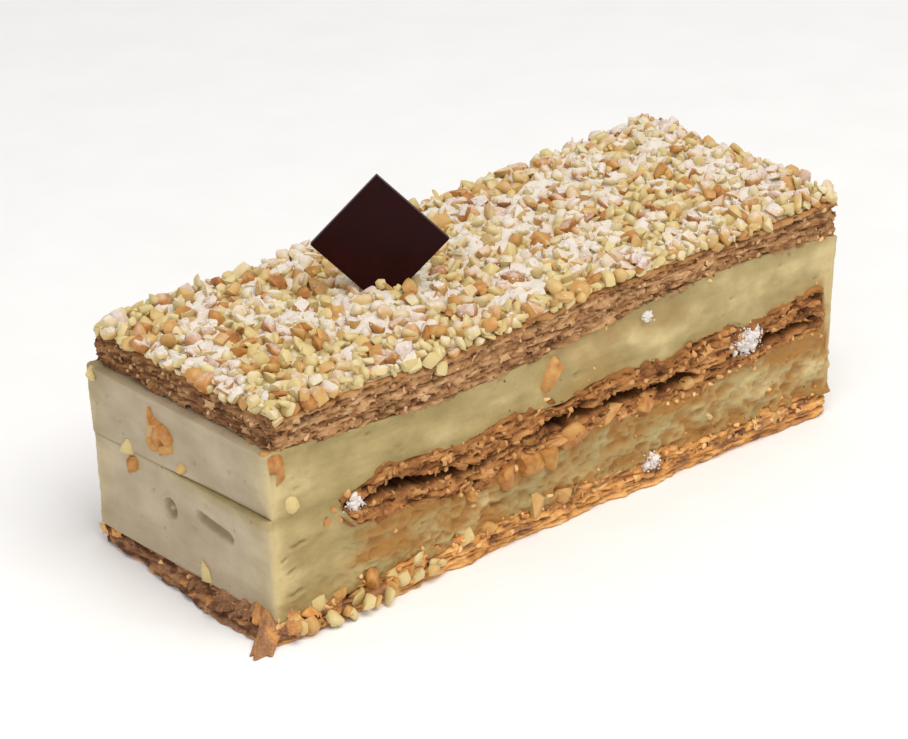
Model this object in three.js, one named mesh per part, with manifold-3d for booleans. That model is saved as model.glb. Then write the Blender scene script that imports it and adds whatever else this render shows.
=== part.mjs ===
// A slice of mille feuille: three sheets of puff pastry with two layers of vanilla cream between them,
// a crust of chopped nuts on top and a chocolate plaque stuck into the nuts.
// Millimetres, +Z up. The long side runs along X, the side that shows its layers best faces -Y, and the
// slice stands on Z = 0 with the origin under its middle.
import * as THREE from "three";
import { mergeVertices } from "three/addons/utils/BufferGeometryUtils.js";
import Module from "manifold-3d";

const wasm = await Module();
wasm.setup();

// Overall sizes
const sliceLength = 180;
const sliceWidth = 69.5;
const air = 0.3; // left between neighbouring layers

// Heights of the faces between the layers: a level, a rise from the left end to the right, and one long wave
const levels = {
  baseTop: { at: 7, rise: 0, wave: 1.4, length: 240, crest: 25 },
  middleBottom: { at: 20.4, rise: 4, wave: 1.2, length: 66, crest: 8 },
  creamJoin: { at: 30.2, rise: 0, wave: 0, length: 100, crest: 0 },
  middleTop: { at: 34, rise: 2.4, wave: 1, length: 33, crest: 14 },
  topBottom: { at: 47, rise: 2, wave: 2.4, length: 170, crest: 52 },
  topTop: { at: 56.2, rise: 4, wave: 0.4, length: 90, crest: 14 },
};
const joinTilt = 0.014; // the creams meet higher on the -Y side

// Layers in plan
const cornerRun = 6; // from a corner to the first station beside it
const cornerReach = 1.33; // 1 is a round corner, 1.41 a sharp one
const creamSetBack = 0.4; // cream behind the pastry edges on the long sides
// How far the cream ends lean out, at the foot and at the top
const creamFlare = {
  lower: { left: [0, 0.2], right: [0, 1] },
  upper: { left: [0.6, 1.6], right: [1, 2.2] },
};
const baseEnds = [-89.5, 89];
const baseApron = { left: 5, front: 2.6, taper: 45 }; // the base's lowest leaf spreads towards the front left
const middleEnds = [-71, 87.5];
const topEnds = [-88.3, 91.5];
const leafRagged = 1.3; // how far a leaf edge wanders in and out
const leafSway = 0.3; // and up and down
const leafKnot = 7; // length of one wander
const crevice = 0.03; // share of a sheet's height between two of its leaves
const partingDepth = 4; // the middle sheet has parted into two along its edges
// Leaves of each sheet as shares of its height, from the bottom up
const baseLeaves = [0.36, 0.7, 1];
const middleLeaves = [0.22, 0.42, 0.6, 0.8, 1]; // the third is the parting
const middleParting = 2;
const topLeaves = [0.28, 0.5, 0.76, 1];

// Nuts
const nutCount = [23, 9]; // along and across the slice
const nutHalf = [1.6, 2.8]; // half sizes, smallest and largest
const nutJitter = 0.4; // share of the pitch that a nut strays
const nutCoreHeight = 1.7;
const nutCoreInset = 1.2;
const nutHeap = { rise: 3, from: 15, to: 60 }; // the nuts pile up towards the back right
const nutSink = 0.35; // share of a nut's height below the core's top
const spilledNuts = { count: 12, from: -84, to: -8, out: 1.8 }; // along the foot of the -Y side
const strayBits = [[11, 43], [6, 40.5], [2, 37], [9, 36.5]]; // y and z of nuts pressed into the left end

// Chocolate plaque, a square stood on one corner
const plaqueSide = 23.4;
const plaqueThickness = 2;
const plaqueBevel = 0.25;
const plaqueFoot = [-30, -2.6]; // where its lowest corner stands
const plaqueTurn = -39.7;
const plaqueLean = 3.5;
const plaqueRoll = 0.8;

// Torn flake at the front left corner of the base
const flakeLength = 13;
const flakeWidth = 8;
const flakeThickness = 0.9;
const flakeDip = 33; // its tips come down to just above what the slice stands on
const flakeTurn = -148;
const flakeRoot = [-87, -31, 7.2];

const degrees = Math.PI / 180;

// A repeatable random number in [0, 1) for a whole-number key
function chance(key, seed) {
  let h = Math.imul(key ^ Math.imul(seed, 0x9e3779b1), 0x85ebca6b);
  h = Math.imul(h ^ (h >>> 13), 0xc2b2ae35);
  return ((h ^ (h >>> 16)) >>> 0) / 4294967296;
}

// Smooth noise in [-1, 1] along a line, with one knot for each whole number
function ripple(t, seed) {
  const knot = Math.floor(t);
  const part = t - knot;
  const ease = part * part * (3 - 2 * part);
  return 2 * (chance(knot, seed) * (1 - ease) + chance(knot + 1, seed) * ease) - 1;
}

// Height of a face between two layers at x, level along Y
function heightAt(level, x) {
  const turn = (2 * Math.PI * (x - level.crest)) / level.length;
  return level.at + (level.rise * x) / sliceLength + level.wave * Math.cos(turn);
}

// 0 at from, 1 at to, with an easy start and finish
function eased(value, from, to) {
  const part = Math.min(1, Math.max(0, (value - from) / (to - from)));
  return part * part * (3 - 2 * part);
}

function joinAt(y) {
  return levels.creamJoin.at - joinTilt * y;
}

// Stations round a rectangle with eased corners, counter-clockwise from the front left. Each has its
// place, its outward direction and its distance along the rim.
function rimOf({ ends, width, step }) {
  const [left, right] = ends;
  const half = width / 2;
  const along = Math.round((right - left - 2 * cornerRun) / step);
  const across = Math.round((width - 2 * cornerRun) / step);
  const stations = [];
  const side = (count, from, to, out) => {
    for (let i = 0; i <= count; i++) {
      const share = i / count;
      stations.push({
        x: from[0] + (to[0] - from[0]) * share,
        y: from[1] + (to[1] - from[1]) * share,
        out,
      });
    }
  };
  const bend = (x, y, angle) => {
    const out = [cornerReach * Math.cos(angle), cornerReach * Math.sin(angle)];
    stations.push({ x: x + cornerRun * out[0], y: y + cornerRun * out[1], out });
  };
  const inner = { left: left + cornerRun, right: right - cornerRun, half: half - cornerRun };
  side(along, [inner.left, -half], [inner.right, -half], [0, -1]);
  bend(inner.right, -inner.half, -Math.PI / 4);
  side(across, [right, -inner.half], [right, inner.half], [1, 0]);
  bend(inner.right, inner.half, Math.PI / 4);
  side(along, [inner.right, half], [inner.left, half], [0, 1]);
  bend(inner.left, inner.half, (3 * Math.PI) / 4);
  side(across, [left, inner.half], [left, -inner.half], [-1, 0]);
  bend(inner.left, -inner.half, (-3 * Math.PI) / 4);
  let distance = 0;
  stations.forEach((station, i) => {
    const before = stations[Math.max(0, i - 1)];
    distance += Math.hypot(station.x - before.x, station.y - before.y);
    station.at = distance;
  });
  return { stations, along };
}

// A closed solid whose wall has rows of points round a rim. pointAt(station, row) gives each point, and
// the top and the bottom are ruled straight across from the front to the back.
function layerSolid(rim, rowCount, pointAt) {
  const { stations, along } = rim;
  const count = stations.length;
  const positions = [];
  const index = [];
  for (let row = 0; row < rowCount; row++)
    for (const station of stations) positions.push(...pointAt(station, row));
  for (let row = 0; row + 1 < rowCount; row++)
    for (let i = 0; i < count; i++) {
      const next = (i + 1) % count;
      const a = row * count + i;
      const b = row * count + next;
      const c = b + count;
      const d = a + count;
      index.push(a, b, c, a, c, d);
    }
  const backFirst = stations.findIndex((s) => s.out[1] === 1);
  const backAt = (i) => backFirst + along - i;
  const capTriangles = [];
  for (let i = 0; i < along; i++)
    capTriangles.push([i, i + 1, backAt(i + 1)], [i, backAt(i + 1), backAt(i)]);
  const endLoops = [
    Array.from({ length: backAt(along) - along + 1 }, (_, i) => along + i),
    [...Array.from({ length: count - backAt(0) }, (_, i) => backAt(0) + i), 0],
  ];
  const caps = { top: (rowCount - 1) * count, bottom: 0 };
  for (const [name, start] of Object.entries(caps)) {
    const triangles = [...capTriangles];
    for (const loop of endLoops) {
      const planPoint = (at) => new THREE.Vector2(positions[3 * at], positions[3 * at + 1]);
      const outline = loop.map((i) => planPoint(start + i));
      for (const face of THREE.ShapeUtils.triangulateShape(outline, []))
        triangles.push(face.map((corner) => loop[corner]));
    }
    for (const [a, b, c] of triangles)
      index.push(...(name === "top" ? [a, b, c] : [a, c, b]).map((i) => i + start));
  }
  const geometry = new THREE.BufferGeometry();
  geometry.setAttribute("position", new THREE.Float32BufferAttribute(positions, 3));
  geometry.setIndex(index);
  return solidOf(geometry);
}

// A three.js geometry as a solid that can be joined and cut, and back
function solidOf(geometry) {
  const bare = geometry.clone();
  bare.deleteAttribute("normal");
  bare.deleteAttribute("uv");
  const merged = mergeVertices(bare, 1e-4);
  const mesh = new wasm.Mesh({
    numProp: 3,
    vertProperties: new Float32Array(merged.attributes.position.array),
    triVerts: new Uint32Array(merged.index.array),
  });
  return new wasm.Manifold(mesh);
}

function geometryOf(solid) {
  const mesh = solid.getMesh();
  const geometry = new THREE.BufferGeometry();
  geometry.setAttribute("position", new THREE.BufferAttribute(new Float32Array(mesh.vertProperties), 3));
  geometry.setIndex(new THREE.BufferAttribute(new Uint32Array(mesh.triVerts), 1));
  geometry.computeVertexNormals();
  return geometry;
}

function joined(solids) {
  return solids.reduce((whole, solid) => whole.add(solid));
}

// Puff pastry sheet: its edge is a pile of leaves, each with its own ragged outline. One of them may be a
// parting, which goes in instead of out. spread(station, leaf) pushes a leaf further out.
function pastrySheet({ ends, bottom, top, leaves, parting, spread, seed, step }) {
  const rim = rimOf({ ends, width: sliceWidth, step });
  const rows = leaves.flatMap((to, leaf) => [
    { leaf, share: leaf ? leaves[leaf - 1] + crevice / 2 : 0 },
    { leaf, share: to < 1 ? to - crevice / 2 : 1 },
  ]);
  return layerSolid(rim, rows.length, (station, row) => {
    const { leaf, share } = rows[row];
    const floor = bottom(station.x);
    const inner = row > 0 && row + 1 < rows.length;
    const sway = inner ? leafSway * ripple(station.at / (2 * leafKnot), seed + 50 + (row >> 1)) : 0;
    let out = leafRagged * ripple(station.at / leafKnot, seed + leaf);
    if (leaf === parting) out -= partingDepth;
    if (spread) out += spread(station, leaf);
    const z = floor + (top(station.x) - floor) * share + sway;
    return [station.x + out * station.out[0], station.y + out * station.out[1], z];
  });
}

// The base's lower leaves spread out at its left end and along the left of its front
function apronAt({ x, y, out }, leaf) {
  const share = [1, 0.5, 0][leaf];
  const left = baseApron.left * eased(-y, -sliceWidth / 2, sliceWidth / 2) * (out[0] < 0);
  const front = baseApron.front * (1 - eased(x, -sliceLength / 2, -sliceLength / 2 + 2 * baseApron.taper));
  return share * Math.max(left, front * (out[1] < 0));
}

// Cream layer: smooth sides that lean out at the two ends, grown by margin all round
function creamLayer({ bottom, top, flare, seed }, margin) {
  const rows = 5;
  const ends = [-sliceLength / 2, sliceLength / 2];
  const rim = rimOf({ ends, width: sliceWidth - 2 * creamSetBack, step: 10 });
  return layerSolid(rim, rows, (station, row) => {
    const share = row / (rows - 1);
    const [foot, head] = station.x < 0 ? flare.left : flare.right;
    const lean = (foot + (head - foot) * share) * Math.min(1, Math.abs(station.out[0]));
    const out = margin + 0.35 * ripple(station.at / 14 + 3 * row, seed);
    const floor = bottom(station);
    const z = floor + (top(station) - floor) * share;
    const x = station.x + out * station.out[0] + lean * Math.sign(station.x);
    return [x, station.y + out * station.out[1], z];
  });
}

// Room in the cream for the middle sheet, open on both long sides
function middlePocket() {
  const steps = 48;
  const from = middleEnds[0] - leafRagged - air;
  const to = middleEnds[1] + leafRagged + air;
  const xAt = (i) => from + ((to - from) * i) / steps;
  const profile = new THREE.Shape();
  for (let i = 0; i <= steps; i++) {
    const z = heightAt(levels.middleBottom, xAt(i)) - air;
    if (i) profile.lineTo(xAt(i), z);
    else profile.moveTo(xAt(i), z);
  }
  for (let i = steps; i >= 0; i--) profile.lineTo(xAt(i), heightAt(levels.middleTop, xAt(i)) + air);
  const room = new THREE.ExtrudeGeometry(profile, { depth: 2 * sliceWidth, bevelEnabled: false });
  room.rotateX(90 * degrees);
  room.translate(0, sliceWidth, 0);
  return solidOf(room);
}

// Chopped nut: a block with its corners knocked about
function nut(key, seed) {
  const [least, most] = nutHalf;
  const size = [0, 1, 2].map((axis) => least + (most - least) * chance(3 * key + axis, seed) ** 1.5);
  const block = new THREE.BoxGeometry(2 * size[0], 2 * size[1], 1.7 * size[2]);
  block.deleteAttribute("normal");
  block.deleteAttribute("uv");
  const shape = mergeVertices(block);
  const position = shape.attributes.position;
  for (let i = 0; i < position.count; i++)
    for (let axis = 0; axis < 3; axis++) {
      const knock = 0.72 + 0.36 * chance(24 * key + 3 * i + axis, seed + 1);
      position.setComponent(i, axis, position.getComponent(i, axis) * knock);
    }
  const tilt = (axis) => 0.9 * (chance(5 * key + axis, seed + 2) - 0.5);
  shape.rotateX(tilt(0));
  shape.rotateY(tilt(1));
  shape.rotateZ(2 * Math.PI * chance(key, seed + 3));
  shape.computeBoundingBox();
  return shape;
}

// Extra height of the crust of nuts, straight from the front to the back
function heapAt(x, y) {
  return nutHeap.rise * eased(x, nutHeap.from, nutHeap.to) * (0.5 + y / sliceWidth);
}

// Crust of nuts: a thin core on the top sheet with a nut on each place of a loose grid
function nutTopping() {
  const seed = 40;
  const floorAt = (x) => heightAt(levels.topTop, x) + air;
  const coreAt = (x, y) => nutCoreHeight + heapAt(x, y);
  const ends = [topEnds[0] + nutCoreInset, topEnds[1] - nutCoreInset];
  const rim = rimOf({ ends, width: sliceWidth - 2 * nutCoreInset, step: 9 });
  const core = layerSolid(rim, 2, (station, row) => {
    const out = 0.6 * ripple(station.at / leafKnot, seed);
    const z = floorAt(station.x) + row * coreAt(station.x, station.y);
    return [station.x + out * station.out[0], station.y + out * station.out[1], z];
  });
  const [columns, lines] = nutCount;
  const pitch = [(topEnds[1] - topEnds[0]) / columns, sliceWidth / lines];
  const nuts = [];
  for (let column = 0; column < columns; column++)
    for (let line = 0; line < lines; line++) {
      const key = column * lines + line;
      const stray = (axis) => 2 * nutJitter * (chance(2 * key + axis, seed + 5) - 0.5);
      const x = topEnds[0] + pitch[0] * (column + 0.5 + stray(0));
      const y = -sliceWidth / 2 + pitch[1] * (line + 0.5 + stray(1));
      const shape = nut(key, seed);
      const { min, max } = shape.boundingBox;
      const foot = floorAt(x) + Math.max(0.3, coreAt(x, y) - nutSink * (max.z - min.z));
      shape.translate(x, y, foot - min.z);
      nuts.push(solidOf(shape));
    }
  return joined([core, ...nuts]);
}

// Nuts that have fallen to the foot of the front side, sunk into the base's edge
function spilledOnBase() {
  const seed = 70;
  const { count, from, to, out } = spilledNuts;
  return Array.from({ length: count }, (_, i) => {
    const shape = nut(i, seed);
    const { min } = shape.boundingBox;
    const x = from + ((to - from) * (i + 0.7 * chance(i, seed + 5))) / count;
    const spread = baseApron.front * (1 - eased(x, -sliceLength / 2, -sliceLength / 2 + 2 * baseApron.taper));
    const y = -sliceWidth / 2 - spread - out * chance(i, seed + 6);
    shape.translate(x, y, 0.4 + 1.6 * chance(i, seed + 7) - min.z);
    return solidOf(shape);
  });
}

// Nuts pressed into the left end of the upper cream
function strayOnCream() {
  const seed = 90;
  return strayBits.map(([y, z], i) => {
    const shape = nut(i, seed);
    shape.translate(-sliceLength / 2 - 0.2, y, z);
    return solidOf(shape);
  });
}

// Shard of pastry torn loose at the front left corner, leaning out from the base
function cornerFlake() {
  const outline = new THREE.Shape();
  outline.moveTo(0, -0.5 * flakeWidth);
  outline.lineTo(0.55 * flakeLength, -0.42 * flakeWidth);
  outline.lineTo(0.95 * flakeLength, -0.5 * flakeWidth);
  outline.lineTo(0.8 * flakeLength, 0);
  outline.lineTo(flakeLength, 0.3 * flakeWidth);
  outline.lineTo(0.6 * flakeLength, 0.5 * flakeWidth);
  outline.lineTo(0, 0.35 * flakeWidth);
  const shard = new THREE.ExtrudeGeometry(outline, { depth: flakeThickness, bevelEnabled: false });
  shard.rotateY(flakeDip * degrees);
  shard.rotateZ(flakeTurn * degrees);
  shard.translate(...flakeRoot);
  return solidOf(shard);
}

// Chocolate plaque, grown by margin all round
function plaque(margin) {
  const half = plaqueSide / 2 + margin - plaqueBevel;
  const square = new THREE.Shape();
  square.moveTo(-half, -half);
  square.lineTo(half, -half);
  square.lineTo(half, half);
  square.lineTo(-half, half);
  square.closePath();
  const depth = plaqueThickness + 2 * margin - 2 * plaqueBevel;
  const tablet = new THREE.ExtrudeGeometry(square, {
    depth,
    bevelThickness: plaqueBevel,
    bevelSize: plaqueBevel,
    bevelSegments: 1,
  });
  tablet.translate(0, 0, -depth / 2);
  tablet.rotateZ(45 * degrees);
  tablet.translate(0, plaqueSide / Math.SQRT2, 0);
  tablet.rotateZ(plaqueRoll * degrees);
  tablet.rotateX((90 - plaqueLean) * degrees);
  tablet.rotateZ(plaqueTurn * degrees);
  const [x, y] = plaqueFoot;
  tablet.translate(x, y, heightAt(levels.topTop, x) + 0.45);
  return solidOf(tablet);
}

// The layers
const baseTop = (x) => heightAt(levels.baseTop, x);
const middleBottom = (x) => heightAt(levels.middleBottom, x);
const middleTop = (x) => heightAt(levels.middleTop, x);
const topBottom = (x) => heightAt(levels.topBottom, x);
const topTop = (x) => heightAt(levels.topTop, x);
const pocket = middlePocket();

const baseSheet = pastrySheet({
  ends: baseEnds,
  bottom: () => 0,
  top: baseTop,
  leaves: baseLeaves,
  spread: apronAt,
  seed: 10,
  step: 5.5,
});
const lowerCream = {
  bottom: ({ x }) => baseTop(x) + air,
  top: ({ y }) => joinAt(y) - air / 2,
  flare: creamFlare.lower,
  seed: 15,
};
const middleSheet = pastrySheet({
  ends: middleEnds,
  bottom: middleBottom,
  top: middleTop,
  leaves: middleLeaves,
  parting: middleParting,
  seed: 20,
  step: 5.5,
});
const upperCream = {
  bottom: ({ y }) => joinAt(y) + air / 2,
  top: ({ x }) => topBottom(x) - air,
  flare: creamFlare.upper,
  seed: 25,
};
const topSheet = pastrySheet({
  ends: topEnds,
  bottom: topBottom,
  top: topTop,
  leaves: topLeaves,
  seed: 30,
  step: 5.5,
});

// What lies against the base stops short of the cream's face
const baseWithSpill = joined([baseSheet, cornerFlake(), ...spilledOnBase()]);
const creamRoom = creamLayer({ ...lowerCream, bottom: ({ x }) => baseTop(x) + air / 3 }, air);
const baseCut = baseWithSpill.subtract(creamRoom);
const lowerCut = creamLayer(lowerCream, 0).subtract(pocket);
const upperCut = creamLayer(upperCream, 0).subtract(pocket);

const finishes = {
  basePastry: { color: 0xb37f42, roughness: 0.85 },
  middlePastry: { color: 0xa0744a, roughness: 0.85 },
  topPastry: { color: 0x8f6539, roughness: 0.85 },
  cream: { color: 0xd9c596, roughness: 0.55 },
  nuts: { color: 0xd6b980, roughness: 0.7 },
  chocolate: { color: 0x2a0b07, roughness: 0.3 },
};

function piece(name, solid, finish) {
  const material = new THREE.MeshStandardMaterial({ ...finish, metalness: 0 });
  const mesh = new THREE.Mesh(geometryOf(solid), material);
  mesh.name = name;
  return mesh;
}

const slice = new THREE.Group();
slice.name = "mille_feuille_slice";
slice.add(
  piece("base_pastry", baseCut, finishes.basePastry),
  piece("lower_cream", lowerCut, finishes.cream),
  piece("middle_pastry", middleSheet, finishes.middlePastry),
  piece("upper_cream", joined([upperCut, ...strayOnCream()]), finishes.cream),
  piece("top_pastry", topSheet, finishes.topPastry),
  piece("nut_topping", nutTopping().subtract(plaque(air)), finishes.nuts),
  piece("chocolate_plaque", plaque(0), finishes.chocolate),
);

// The origin goes under the middle of the whole slice with what has spilled round its foot
const box = new THREE.Box3().setFromObject(slice);
const middle = box.getCenter(new THREE.Vector3());
for (const mesh of slice.children) mesh.geometry.translate(-middle.x, -middle.y, -box.min.z);

export default slice;
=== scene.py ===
import math

import bmesh
import bpy
import numpy as np
from mathutils import Matrix, Vector


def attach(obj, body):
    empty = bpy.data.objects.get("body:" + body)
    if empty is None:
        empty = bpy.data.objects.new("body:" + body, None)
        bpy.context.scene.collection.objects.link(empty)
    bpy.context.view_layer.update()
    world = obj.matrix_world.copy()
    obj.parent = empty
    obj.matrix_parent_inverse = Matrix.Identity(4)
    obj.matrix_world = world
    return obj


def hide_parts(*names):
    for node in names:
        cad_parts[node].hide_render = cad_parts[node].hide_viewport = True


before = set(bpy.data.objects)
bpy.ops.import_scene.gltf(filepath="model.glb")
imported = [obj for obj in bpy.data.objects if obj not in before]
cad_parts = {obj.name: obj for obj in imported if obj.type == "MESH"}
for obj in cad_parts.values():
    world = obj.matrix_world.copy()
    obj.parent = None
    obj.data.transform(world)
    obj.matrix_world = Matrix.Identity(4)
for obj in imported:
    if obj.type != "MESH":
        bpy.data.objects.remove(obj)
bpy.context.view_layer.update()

# Mille feuille slice. Sizes are millimetres in the slice's own plan: x along it, y from front to back.
mm = 0.001
slicePlan = {
    "length": 180.0,
    "width": 69.5,
    "middle": (2.66, 2.06),  # where the middle of the plan lies in the frame
    "creamSetBack": 0.4,  # cream behind the pastry edges on the long sides
}
planShift = np.array([*slicePlan["middle"], 0.0])
# faces between the layers: a level, a rise from the left end to the right and one long wave
levels = {
    "baseTop": {"at": 7.0, "rise": 0.0, "wave": 1.4, "length": 240.0, "crest": 25.0},
    "middleBottom": {"at": 20.4, "rise": 4.0, "wave": 1.2, "length": 66.0, "crest": 8.0},
    "middleTop": {"at": 34.0, "rise": 2.4, "wave": 1.0, "length": 33.0, "crest": 14.0},
    "topBottom": {"at": 47.0, "rise": 2.0, "wave": 2.4, "length": 170.0, "crest": 52.0},
    "topTop": {"at": 56.2, "rise": 4.0, "wave": 0.4, "length": 90.0, "crest": 14.0},
}
creamJoin = {"at": 30.2, "tilt": 0.014}  # the creams meet a little higher at the front
baseEnds = (-89.5, 89.0)
middleEnds = (-71.0, 87.5)
topEnds = (-88.3, 91.5)
cornerRound = {"pastry": 1.6, "cream": 0.8}
# spacing of the points round a wall and up it
meshStep = {"sheetRound": 0.42, "sheetUp": 0.28, "creamRound": 0.5, "creamUp": 0.4}


def heightAt(name, x):
    level = levels[name]
    turn = 2 * np.pi * (x - level["crest"]) / level["length"]
    return level["at"] + level["rise"] * x / slicePlan["length"] + level["wave"] * np.cos(turn)


def eased(value, start, stop):
    part = np.clip((value - start) / (stop - start), 0, 1)
    return part * part * (3 - 2 * part)


# repeatable noise from -1 to 1 on a lattice of whole numbers; wrap closes it round a rim
def latticeValue(i, j, seed):
    mix = (i.astype(np.int64) * 374761393 + j.astype(np.int64) * 668265263 + seed * 974634777) & 0xFFFFFFFF
    mix = ((mix ^ (mix >> 13)) * 1274126177) & 0xFFFFFFFF
    return ((mix ^ (mix >> 16)) & 0xFFFFFF) / 0x7FFFFF - 1


def softNoise(u, v, seed, wrap=0):
    u, v = np.broadcast_arrays(np.asarray(u, float), np.asarray(v, float))
    i, j = np.floor(u), np.floor(v)
    s, t = u - i, v - j
    s, t = s * s * (3 - 2 * s), t * t * (3 - 2 * t)
    near, far = (np.mod(i, wrap), np.mod(i + 1, wrap)) if wrap else (i, i + 1)
    low = latticeValue(near, j, seed) * (1 - s) + latticeValue(far, j, seed) * s
    high = latticeValue(near, j + 1, seed) * (1 - s) + latticeValue(far, j + 1, seed) * s
    return low * (1 - t) + high * t


def roughNoise(u, v, seed, octaves, wrap=0):
    whole = 0
    for k in range(octaves):
        whole = whole + softNoise(u * 2**k, v * 2**k, seed + 31 * k, wrap * 2**k) / 2**k
    return whole / (2 - 2 ** (1 - octaves))


# stations round a rectangle, from the middle of the left end by the front to the right end, and mirrored back
def rimOf(ends, width, corner, step):
    left, right = ends
    half = width / 2
    endCount = int((half - corner) / step)
    frontCount = int((right - left - 2 * corner) / step)
    bendCount = max(3, int(corner * 1.57 / step) + 1)
    down = -(np.arange(endCount) + 0.5) * (half - corner) / endCount
    bend = (np.arange(bendCount) + 0.5) / bendCount * np.pi / 2
    still = np.zeros(endCount)
    x = np.concatenate([
        still + left,
        left + corner - corner * np.cos(bend),
        np.linspace(left + corner, right - corner, frontCount),
        right - corner + corner * np.sin(bend),
        still + right,
    ])
    y = np.concatenate([
        down,
        -half + corner - corner * np.sin(bend),
        np.full(frontCount, -half),
        -half + corner - corner * np.cos(bend),
        down[::-1],
    ])
    outX = np.concatenate([still - 1, -np.cos(bend), np.zeros(frontCount), np.sin(bend), still + 1])
    outY = np.concatenate([still, -np.sin(bend), np.full(frontCount, -1.0), -np.cos(bend), still])
    rim = {
        "x": np.concatenate([x, x[::-1]]),
        "y": np.concatenate([y, -y[::-1]]),
        "outX": np.concatenate([outX, outX[::-1]]),
        "outY": np.concatenate([outY, -outY[::-1]]),
        "centre": (left + right) / 2,
        "size": (right - left, width),
    }
    steps = np.hypot(np.diff(rim["x"], append=rim["x"][0]), np.diff(rim["y"], append=rim["y"][0]))
    rim["around"] = steps.sum()
    rim["at"] = np.cumsum(steps) - steps
    alongEnd = half - np.abs(rim["y"])
    alongSide = (right - left) / 2 - np.abs(rim["x"] - rim["centre"])
    rim["fromCorner"] = np.maximum(alongEnd, alongSide)
    return rim


def rimNoise(rim, size, v, seed, octaves=1):
    wrap = max(1, round(rim["around"] / size))
    return roughNoise(rim["at"] * wrap / rim["around"], v, seed, octaves, wrap)


# the rim moved out by a distance and drawn in towards the middle by an inset
def ringOf(rim, out, inset, z):
    shrinkX = 1 - 2 * inset / rim["size"][0]
    shrinkY = 1 - 2 * inset / rim["size"][1]
    bulge = 0.4 * inset * (1 - (2 * rim["y"] / rim["size"][1]) ** 2) * rim["outX"]
    x = rim["centre"] + (rim["x"] + out * rim["outX"] - rim["centre"]) * shrinkX + bulge
    y = (rim["y"] + out * rim["outY"]) * shrinkY
    return np.stack(np.broadcast_arrays(x, y, z), -1)


# rows of rings from under the middle, up the wall and over the top, closed by ladders from front to back
def closedSkin(rows):
    count = len(rows[0])
    here = np.arange(count)
    after = np.roll(here, -1)
    band = np.stack([here, after, after + count, here + count], 1)
    faces = [band + k * count for k in range(len(rows) - 1)]
    half = np.arange(count // 2 - 1)
    ladder = np.stack([half, half + 1, count - 2 - half, count - 1 - half], 1)
    faces += [ladder + (len(rows) - 1) * count, ladder[:, ::-1]]
    return np.concatenate(rows), np.concatenate(faces)


# two grids of points, an upper and a lower one, closed round their edges
def closedSlab(upper, lower):
    columns, lines = upper.shape[:2]
    total = columns * lines
    cell = (np.arange(columns - 1)[:, None] * lines + np.arange(lines - 1)).ravel()
    top = np.stack([cell, cell + lines, cell + lines + 1, cell + 1], 1)
    edge = np.concatenate([
        np.arange(columns) * lines,
        (columns - 1) * lines + np.arange(1, lines),
        np.arange(columns - 2, -1, -1) * lines + lines - 1,
        np.arange(lines - 2, 0, -1),
    ])
    after = np.roll(edge, -1)
    sides = np.stack([edge + total, after + total, after, edge], 1)
    points = np.concatenate([upper.reshape(-1, 3), lower.reshape(-1, 3)])
    return points, np.concatenate([top, top[:, ::-1] + total, sides])


def meshOf(name, points, faces, attributes=None):
    mesh = bpy.data.meshes.new(name)
    mesh.from_pydata(np.asarray(points).tolist(), [], np.asarray(faces).tolist())
    for key, values in (attributes or {}).items():
        layer = mesh.attributes.new(key, "FLOAT", "POINT")
        layer.data.foreach_set("value", np.ascontiguousarray(values, np.float32).ravel())
    mesh.polygons.foreach_set("use_smooth", np.ones(len(mesh.polygons), bool))
    return mesh


# points in the slice's plan become a piece in the frame
def makePiece(name, points, faces, material, attributes):
    mesh = meshOf(name, (points + planShift) * mm, faces, attributes)
    mesh.materials.append(material)
    piece = bpy.data.objects.new(name, mesh)
    bpy.context.scene.collection.objects.link(piece)
    return piece


def standFor(piece, slot, *nodes):
    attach(piece, "root")
    if nodes:
        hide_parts(*nodes)
    print(piece.name, len(piece.data.polygons), "faces")
    return piece


# adds one node; inputs are values or the sockets to link from
def addNode(tree, kind, inputs=None, **settings):
    node = tree.nodes.new(kind)
    for key, value in settings.items():
        setattr(node, key, value)
    for key, value in (inputs or {}).items():
        if isinstance(value, bpy.types.NodeSocket):
            tree.links.new(value, node.inputs[key])
        else:
            node.inputs[key].default_value = value
    return node


def linear(hexColour):
    parts = [int(hexColour[k:k + 2], 16) / 255 for k in (1, 3, 5)]
    return [p / 12.92 if p <= 0.04045 else ((p + 0.055) / 1.055) ** 2.4 for p in parts] + [1.0]


def newMaterial(name):
    material = bpy.data.materials.new(name)
    material.use_nodes = True
    material.node_tree.nodes.clear()
    return material, material.node_tree


def rampOf(tree, factor, stops):
    ramp = addNode(tree, "ShaderNodeValToRGB", {"Fac": factor})
    while len(ramp.color_ramp.elements) < len(stops):
        ramp.color_ramp.elements.new(0.5)
    for element, (place, colour) in zip(ramp.color_ramp.elements, stops):
        element.position = place
        element.color = linear(colour)
    return ramp.outputs["Color"]


def finishMaterial(tree, shader):
    addNode(tree, "ShaderNodeOutputMaterial", {"Surface": shader.outputs["BSDF"]})


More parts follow.
